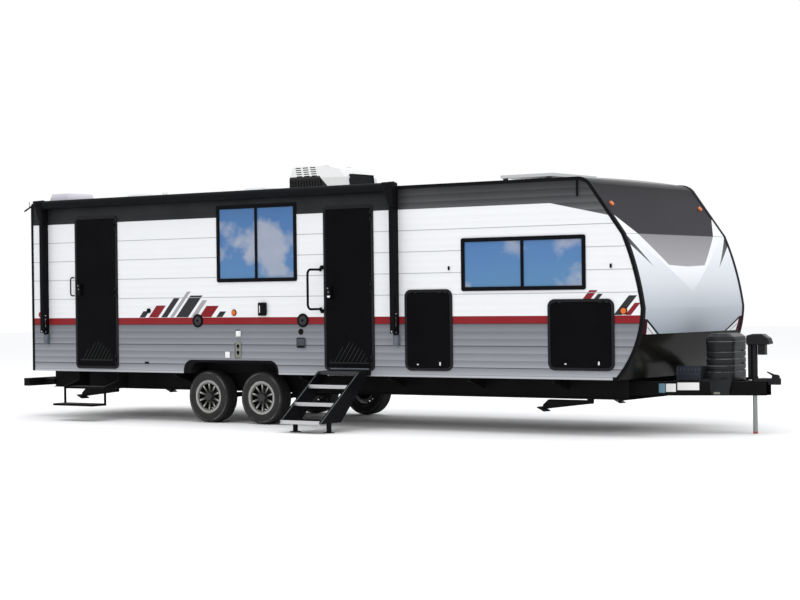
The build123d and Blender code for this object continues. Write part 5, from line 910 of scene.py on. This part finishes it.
for x in arms["stations"]:
    addBlock(slots, (x + arms["half"] + 0.0004, arms["middle"], (low + high) / 2), (0.0024, 0.010, high - low), 0.0008)
    for z in arms["studs"]:
        addDisc(studs, (x + arms["half"], arms["middle"], z), (1, 0, 0), 0.0075, 0.004, 0.0015, 20)
    addDisc(studs, (x - 0.004, arms["outer"], arms["studs"][0] + 0.01), (0, -1, 0), 0.0085, 0.004, 0.0015, 20)
    (away, y, z), size, edge = arms["foot"]
    addBlock(feet, (x + away, y, z), size, edge, None, 3)
    away, y, z = arms["footStud"]
    addDisc(feet, (x + away, y, z), (0, -1, 0), 0.016, 0.008, 0.002, 24)
    before = set(brackets.verts)
    size = (plate["back"] + plate["front"], plate["deep"], plate["high"] - plate["low"])
    verts = addTaper(brackets, size, *arms["bracketFoot"])
    bevelAll(brackets, list({e for v in verts for e in v.link_edges}), plate["edge"], 4)
    place = (x + (plate["front"] - plate["back"]) / 2, -wallFace - plate["deep"] / 2 + plate["sunk"],
             (plate["high"] + plate["low"]) / 2)
    shiftVerts(brackets, fresh(brackets, before), place)
    away, y, z = arms["knob"]
    addDisc(brackets, (x + away, y, z), (0, -1, 0), 0.030, 0.006, 0.003, 32)
finishMesh(slots, "armSlots", "chrome", slot="alloy")
finishMesh(studs, "armStuds", "chrome", slot="alloy")
finishMesh(feet, "armFeet", "footGrey")
finishMesh(brackets, "armBrackets", "trim")
mesh = bmesh.new()
addRod(mesh, (spout["start"], spout["end"]), spout["radius"], 16, 0.003)
addRod(mesh, spout["hanger"], 0.004, 12, 0.001)
addBlock(mesh, spout["seat"], (0.060, 0.030, 0.050), 0.008, None, 3)
finishMesh(mesh, "rearSpout", "trim")
print("awning hardware")

# air conditioner's front inlet hood, wider at its foot, with slats in its recess
hood = dict(rear=-5.292, front=-5.2465, low=2.86, high=3.056, foot=0.264, head=0.224, rim=0.014, recess=0.022,
            slats=5, firstSlat=2.885, pitch=0.031)
middle, middleZ = (hood["rear"] + hood["front"]) / 2, (hood["low"] + hood["high"]) / 2
mesh = bmesh.new()
size = (hood["front"] - hood["rear"], 2 * hood["head"], hood["high"] - hood["low"])
addTaper(mesh, size, (1, hood["foot"] / hood["head"], 1))
face = max(mesh.faces, key=lambda face: face.calc_center_median().x)
bmesh.ops.inset_region(mesh, faces=[face], thickness=hood["rim"])
face = max(mesh.faces, key=lambda face: (face.calc_center_median().x, face.calc_area()))
bmesh.ops.translate(mesh, verts=list(face.verts), vec=(-hood["recess"], 0, 0))
bmesh.ops.translate(mesh, verts=mesh.verts, vec=(middle, 0, middleZ))
for index in range(hood["slats"]):
    place = (hood["front"] - 0.020, 0, hood["firstSlat"] + hood["pitch"] * index)
    addBlock(mesh, place, (0.010, 2 * hood["head"] - 0.04, 0.004), 0.001, Matrix.Rotation(radians(25), 3, "Y"))
finishMesh(mesh, "coolerInletHood", "cowl")

# tongue: blank labels on the near beam, skirt of the gas cover, jack, battery lid
beam = dict(start=(-1.829, -0.866), slope=0.404, turn=22.0, cosine=0.927, sine=0.375)


def onBeam(x, away):
    # point on the near beam's outer face, this far off it
    onLine = beam["start"][1] + (x - beam["start"][0]) * beam["slope"]
    return x + beam["sine"] * away, onLine - beam["cosine"] * away


# (start, end, bottom, top) of each label along the beam
labels = dict(
    blue=("labelBlue", ((-0.909, -0.846, 0.452, 0.552),)),
    pale=("label", ((-0.838, -0.738, 0.461, 0.550), (-0.722, -0.504, 0.479, 0.562))), thick=0.0016,
)
turn = Matrix.Rotation(radians(beam["turn"]), 3, "Z")
for tone in ("blue", "pale"):
    finish, places = labels[tone]
    mesh = bmesh.new()
    for low, high, bottom, top in places:
        size = ((high - low) / beam["cosine"], labels["thick"], top - bottom)
        addBlock(mesh, (*onBeam((low + high) / 2, labels["thick"] / 2), (bottom + top) / 2), size, 0.0006, turn)
    finishMesh(mesh, tone + "BeamLabels", finish, slot="white_plastic")
skirt = dict(low=0.424, high=0.600, head=(-0.425, -0.140), foot=(-0.362, -0.165), face=-0.2815, thick=0.014,
             badge=((-0.318, -0.2895, 0.448), (0.078, 0.004, 0.024), 0.001))
mesh = bmesh.new()
length, footLength = skirt["head"][1] - skirt["head"][0], skirt["foot"][1] - skirt["foot"][0]
addTaper(mesh, (length, skirt["thick"], skirt["high"] - skirt["low"]), (footLength / length, 0.7, 1))
bevelAll(mesh, mesh.edges[:], 0.005, 3)
shiftVerts(mesh, mesh.verts[:], (sum(skirt["head"]) / 2, skirt["face"], (skirt["low"] + skirt["high"]) / 2))
for x in (skirt["foot"][0] + 0.012, skirt["foot"][1] - 0.012):
    addBlock(mesh, (x, skirt["face"] - 0.006, 0.51), (0.012, 0.008, 0.150), 0.003)
finishMesh(mesh, "gasCoverSkirt", "cover")
rowPiece("gasCoverBadge", "plateGrey", (skirt["badge"],), slot="alloy")
jack = dict(
    sleeve=((-0.0485, 0, 0.785), (0.043, 0.066, 0.400), 0.010), collarHeight=0.60, bandHeight=0.006,
    collar=[(0.0335, 0), (0.0385, 0.004), (0.0385, 0.020), (0.0335, 0.024), (0.0315, 0.020), (0.0315, 0.004)],
    band=[(0.0258, 0), (0.0275, 0.003), (0.0275, 0.016), (0.0258, 0.019), (0.0245, 0.016), (0.0245, 0.003)],
)
mesh = bmesh.new()
addRows(mesh, (0, 0, 0), (jack["sleeve"],))
addRing(mesh, (0, 0, jack["collarHeight"]), (0, 0, 1), jack["collar"], 40)
finishMesh(mesh, "jackTubeSleeve", "jackPaint")
mesh = bmesh.new()
addRing(mesh, (0, 0, jack["bandHeight"]), (0, 0, 1), jack["band"], 32)
finishMesh(mesh, "jackFootBand", "redPaint", "jack_leg", "lamp_lens")
# ribs and plates on the battery lid, in a blue-grey lighter than the lid as a painted highlight on the ribs
lid = dict(ribs=7, rib=((-0.803, -0.2650, 0.690), (0.010, 0.008, 0.070), 0.003), pitch=0.0443,
           plates=(((-0.670, -0.2660, 0.650), (0.300, 0.008, 0.010), 0.003),
                   ((-0.670, -0.160, 0.7325), (0.290, 0.190, 0.005), 0.002)))
mesh = bmesh.new()
for index in range(lid["ribs"]):
    addRows(mesh, (lid["pitch"] * index, 0, 0), (lid["rib"],))
addRows(mesh, (0, 0, 0), lid["plates"])
finishMesh(mesh, "batteryLidRibs", "plateBlue")
print("tongue pieces")

# off side vents: slats in a raised rim, and a rimmed lid with a small lock; a place is (x, z, width, height)
vents = dict(face=1.2310, rim=0.014, lap=0.006, pitch=0.030, tilt=28, lid=(-8.912, 0.850, 0.300, 0.300), lock=0.11,
             grilles=((-7.812, 1.600, 0.400, 0.280), (-7.812, 0.930, 0.500, 0.460)))
face, rim = vents["face"], vents["rim"]
rims, slats = bmesh.new(), bmesh.new()
for x, z, width, height in (*vents["grilles"], vents["lid"]):
    for side in (-1, 1):
        addBlock(rims, (x + side * (width - rim) / 2, face + 0.002, z), (rim, 0.010, height), 0.002)
        bar = (width - 2 * rim + vents["lap"], 0.0096, rim)
        addBlock(rims, (x, face + 0.002, z + side * (height - rim) / 2), bar, 0.002)
tilt = Matrix.Rotation(radians(vents["tilt"]), 3, "X")
for x, z, width, height in vents["grilles"]:
    count = int((height - 0.05) / vents["pitch"])
    for index in range(count):
        lift = (index - (count - 1) / 2) * vents["pitch"]
        addBlock(slats, (x, face + 0.0005, z + lift), (width - 0.03, 0.012, 0.012), 0.002, tilt)
finishMesh(rims, "offVentRims", "trim")
finishMesh(slats, "offVentSlats", "cowl")
mesh = bmesh.new()
addDisc(mesh, (vents["lid"][0] + vents["lock"], face, vents["lid"][1]), (0, 1, 0), 0.013, 0.005, 0.0015, 28)
finishMesh(mesh, "heaterLidLock", "zinc", slot="alloy")

# entry steps: bright rods along the front edges of the side plates, a painted highlight of those edges
stepEdges = dict(sides=(-4.8605, -4.2780), high=(-1.445, 0.672), low=(-2.180, 0.122), radius=0.0036)
mesh = bmesh.new()
for x in stepEdges["sides"]:
    addRod(mesh, ((x, *stepEdges["high"]), (x, *stepEdges["low"])), stepEdges["radius"], 10, 0.0008)
finishMesh(mesh, "stepEdges", "zinc", "entry_steps", "step_metal")
print("step edges")

# the floor
floorFinish = Finish("paleFloor", (0.95, 0.95, 0.95), 0.9, specular=0.1)
floorFinish.colour(floorFinish.mix(floorFinish.noise(0.6), (0.955, 0.955, 0.955), (0.93, 0.93, 0.935)))
ground = bmesh.new()
bmesh.ops.create_grid(ground, x_segments=1, y_segments=1, size=60)
groundMesh = bpy.data.meshes.new("ground")
ground.to_mesh(groundMesh)
groundMesh.materials.append(floorFinish.material)
groundThing = addThing("ground", groundMesh)
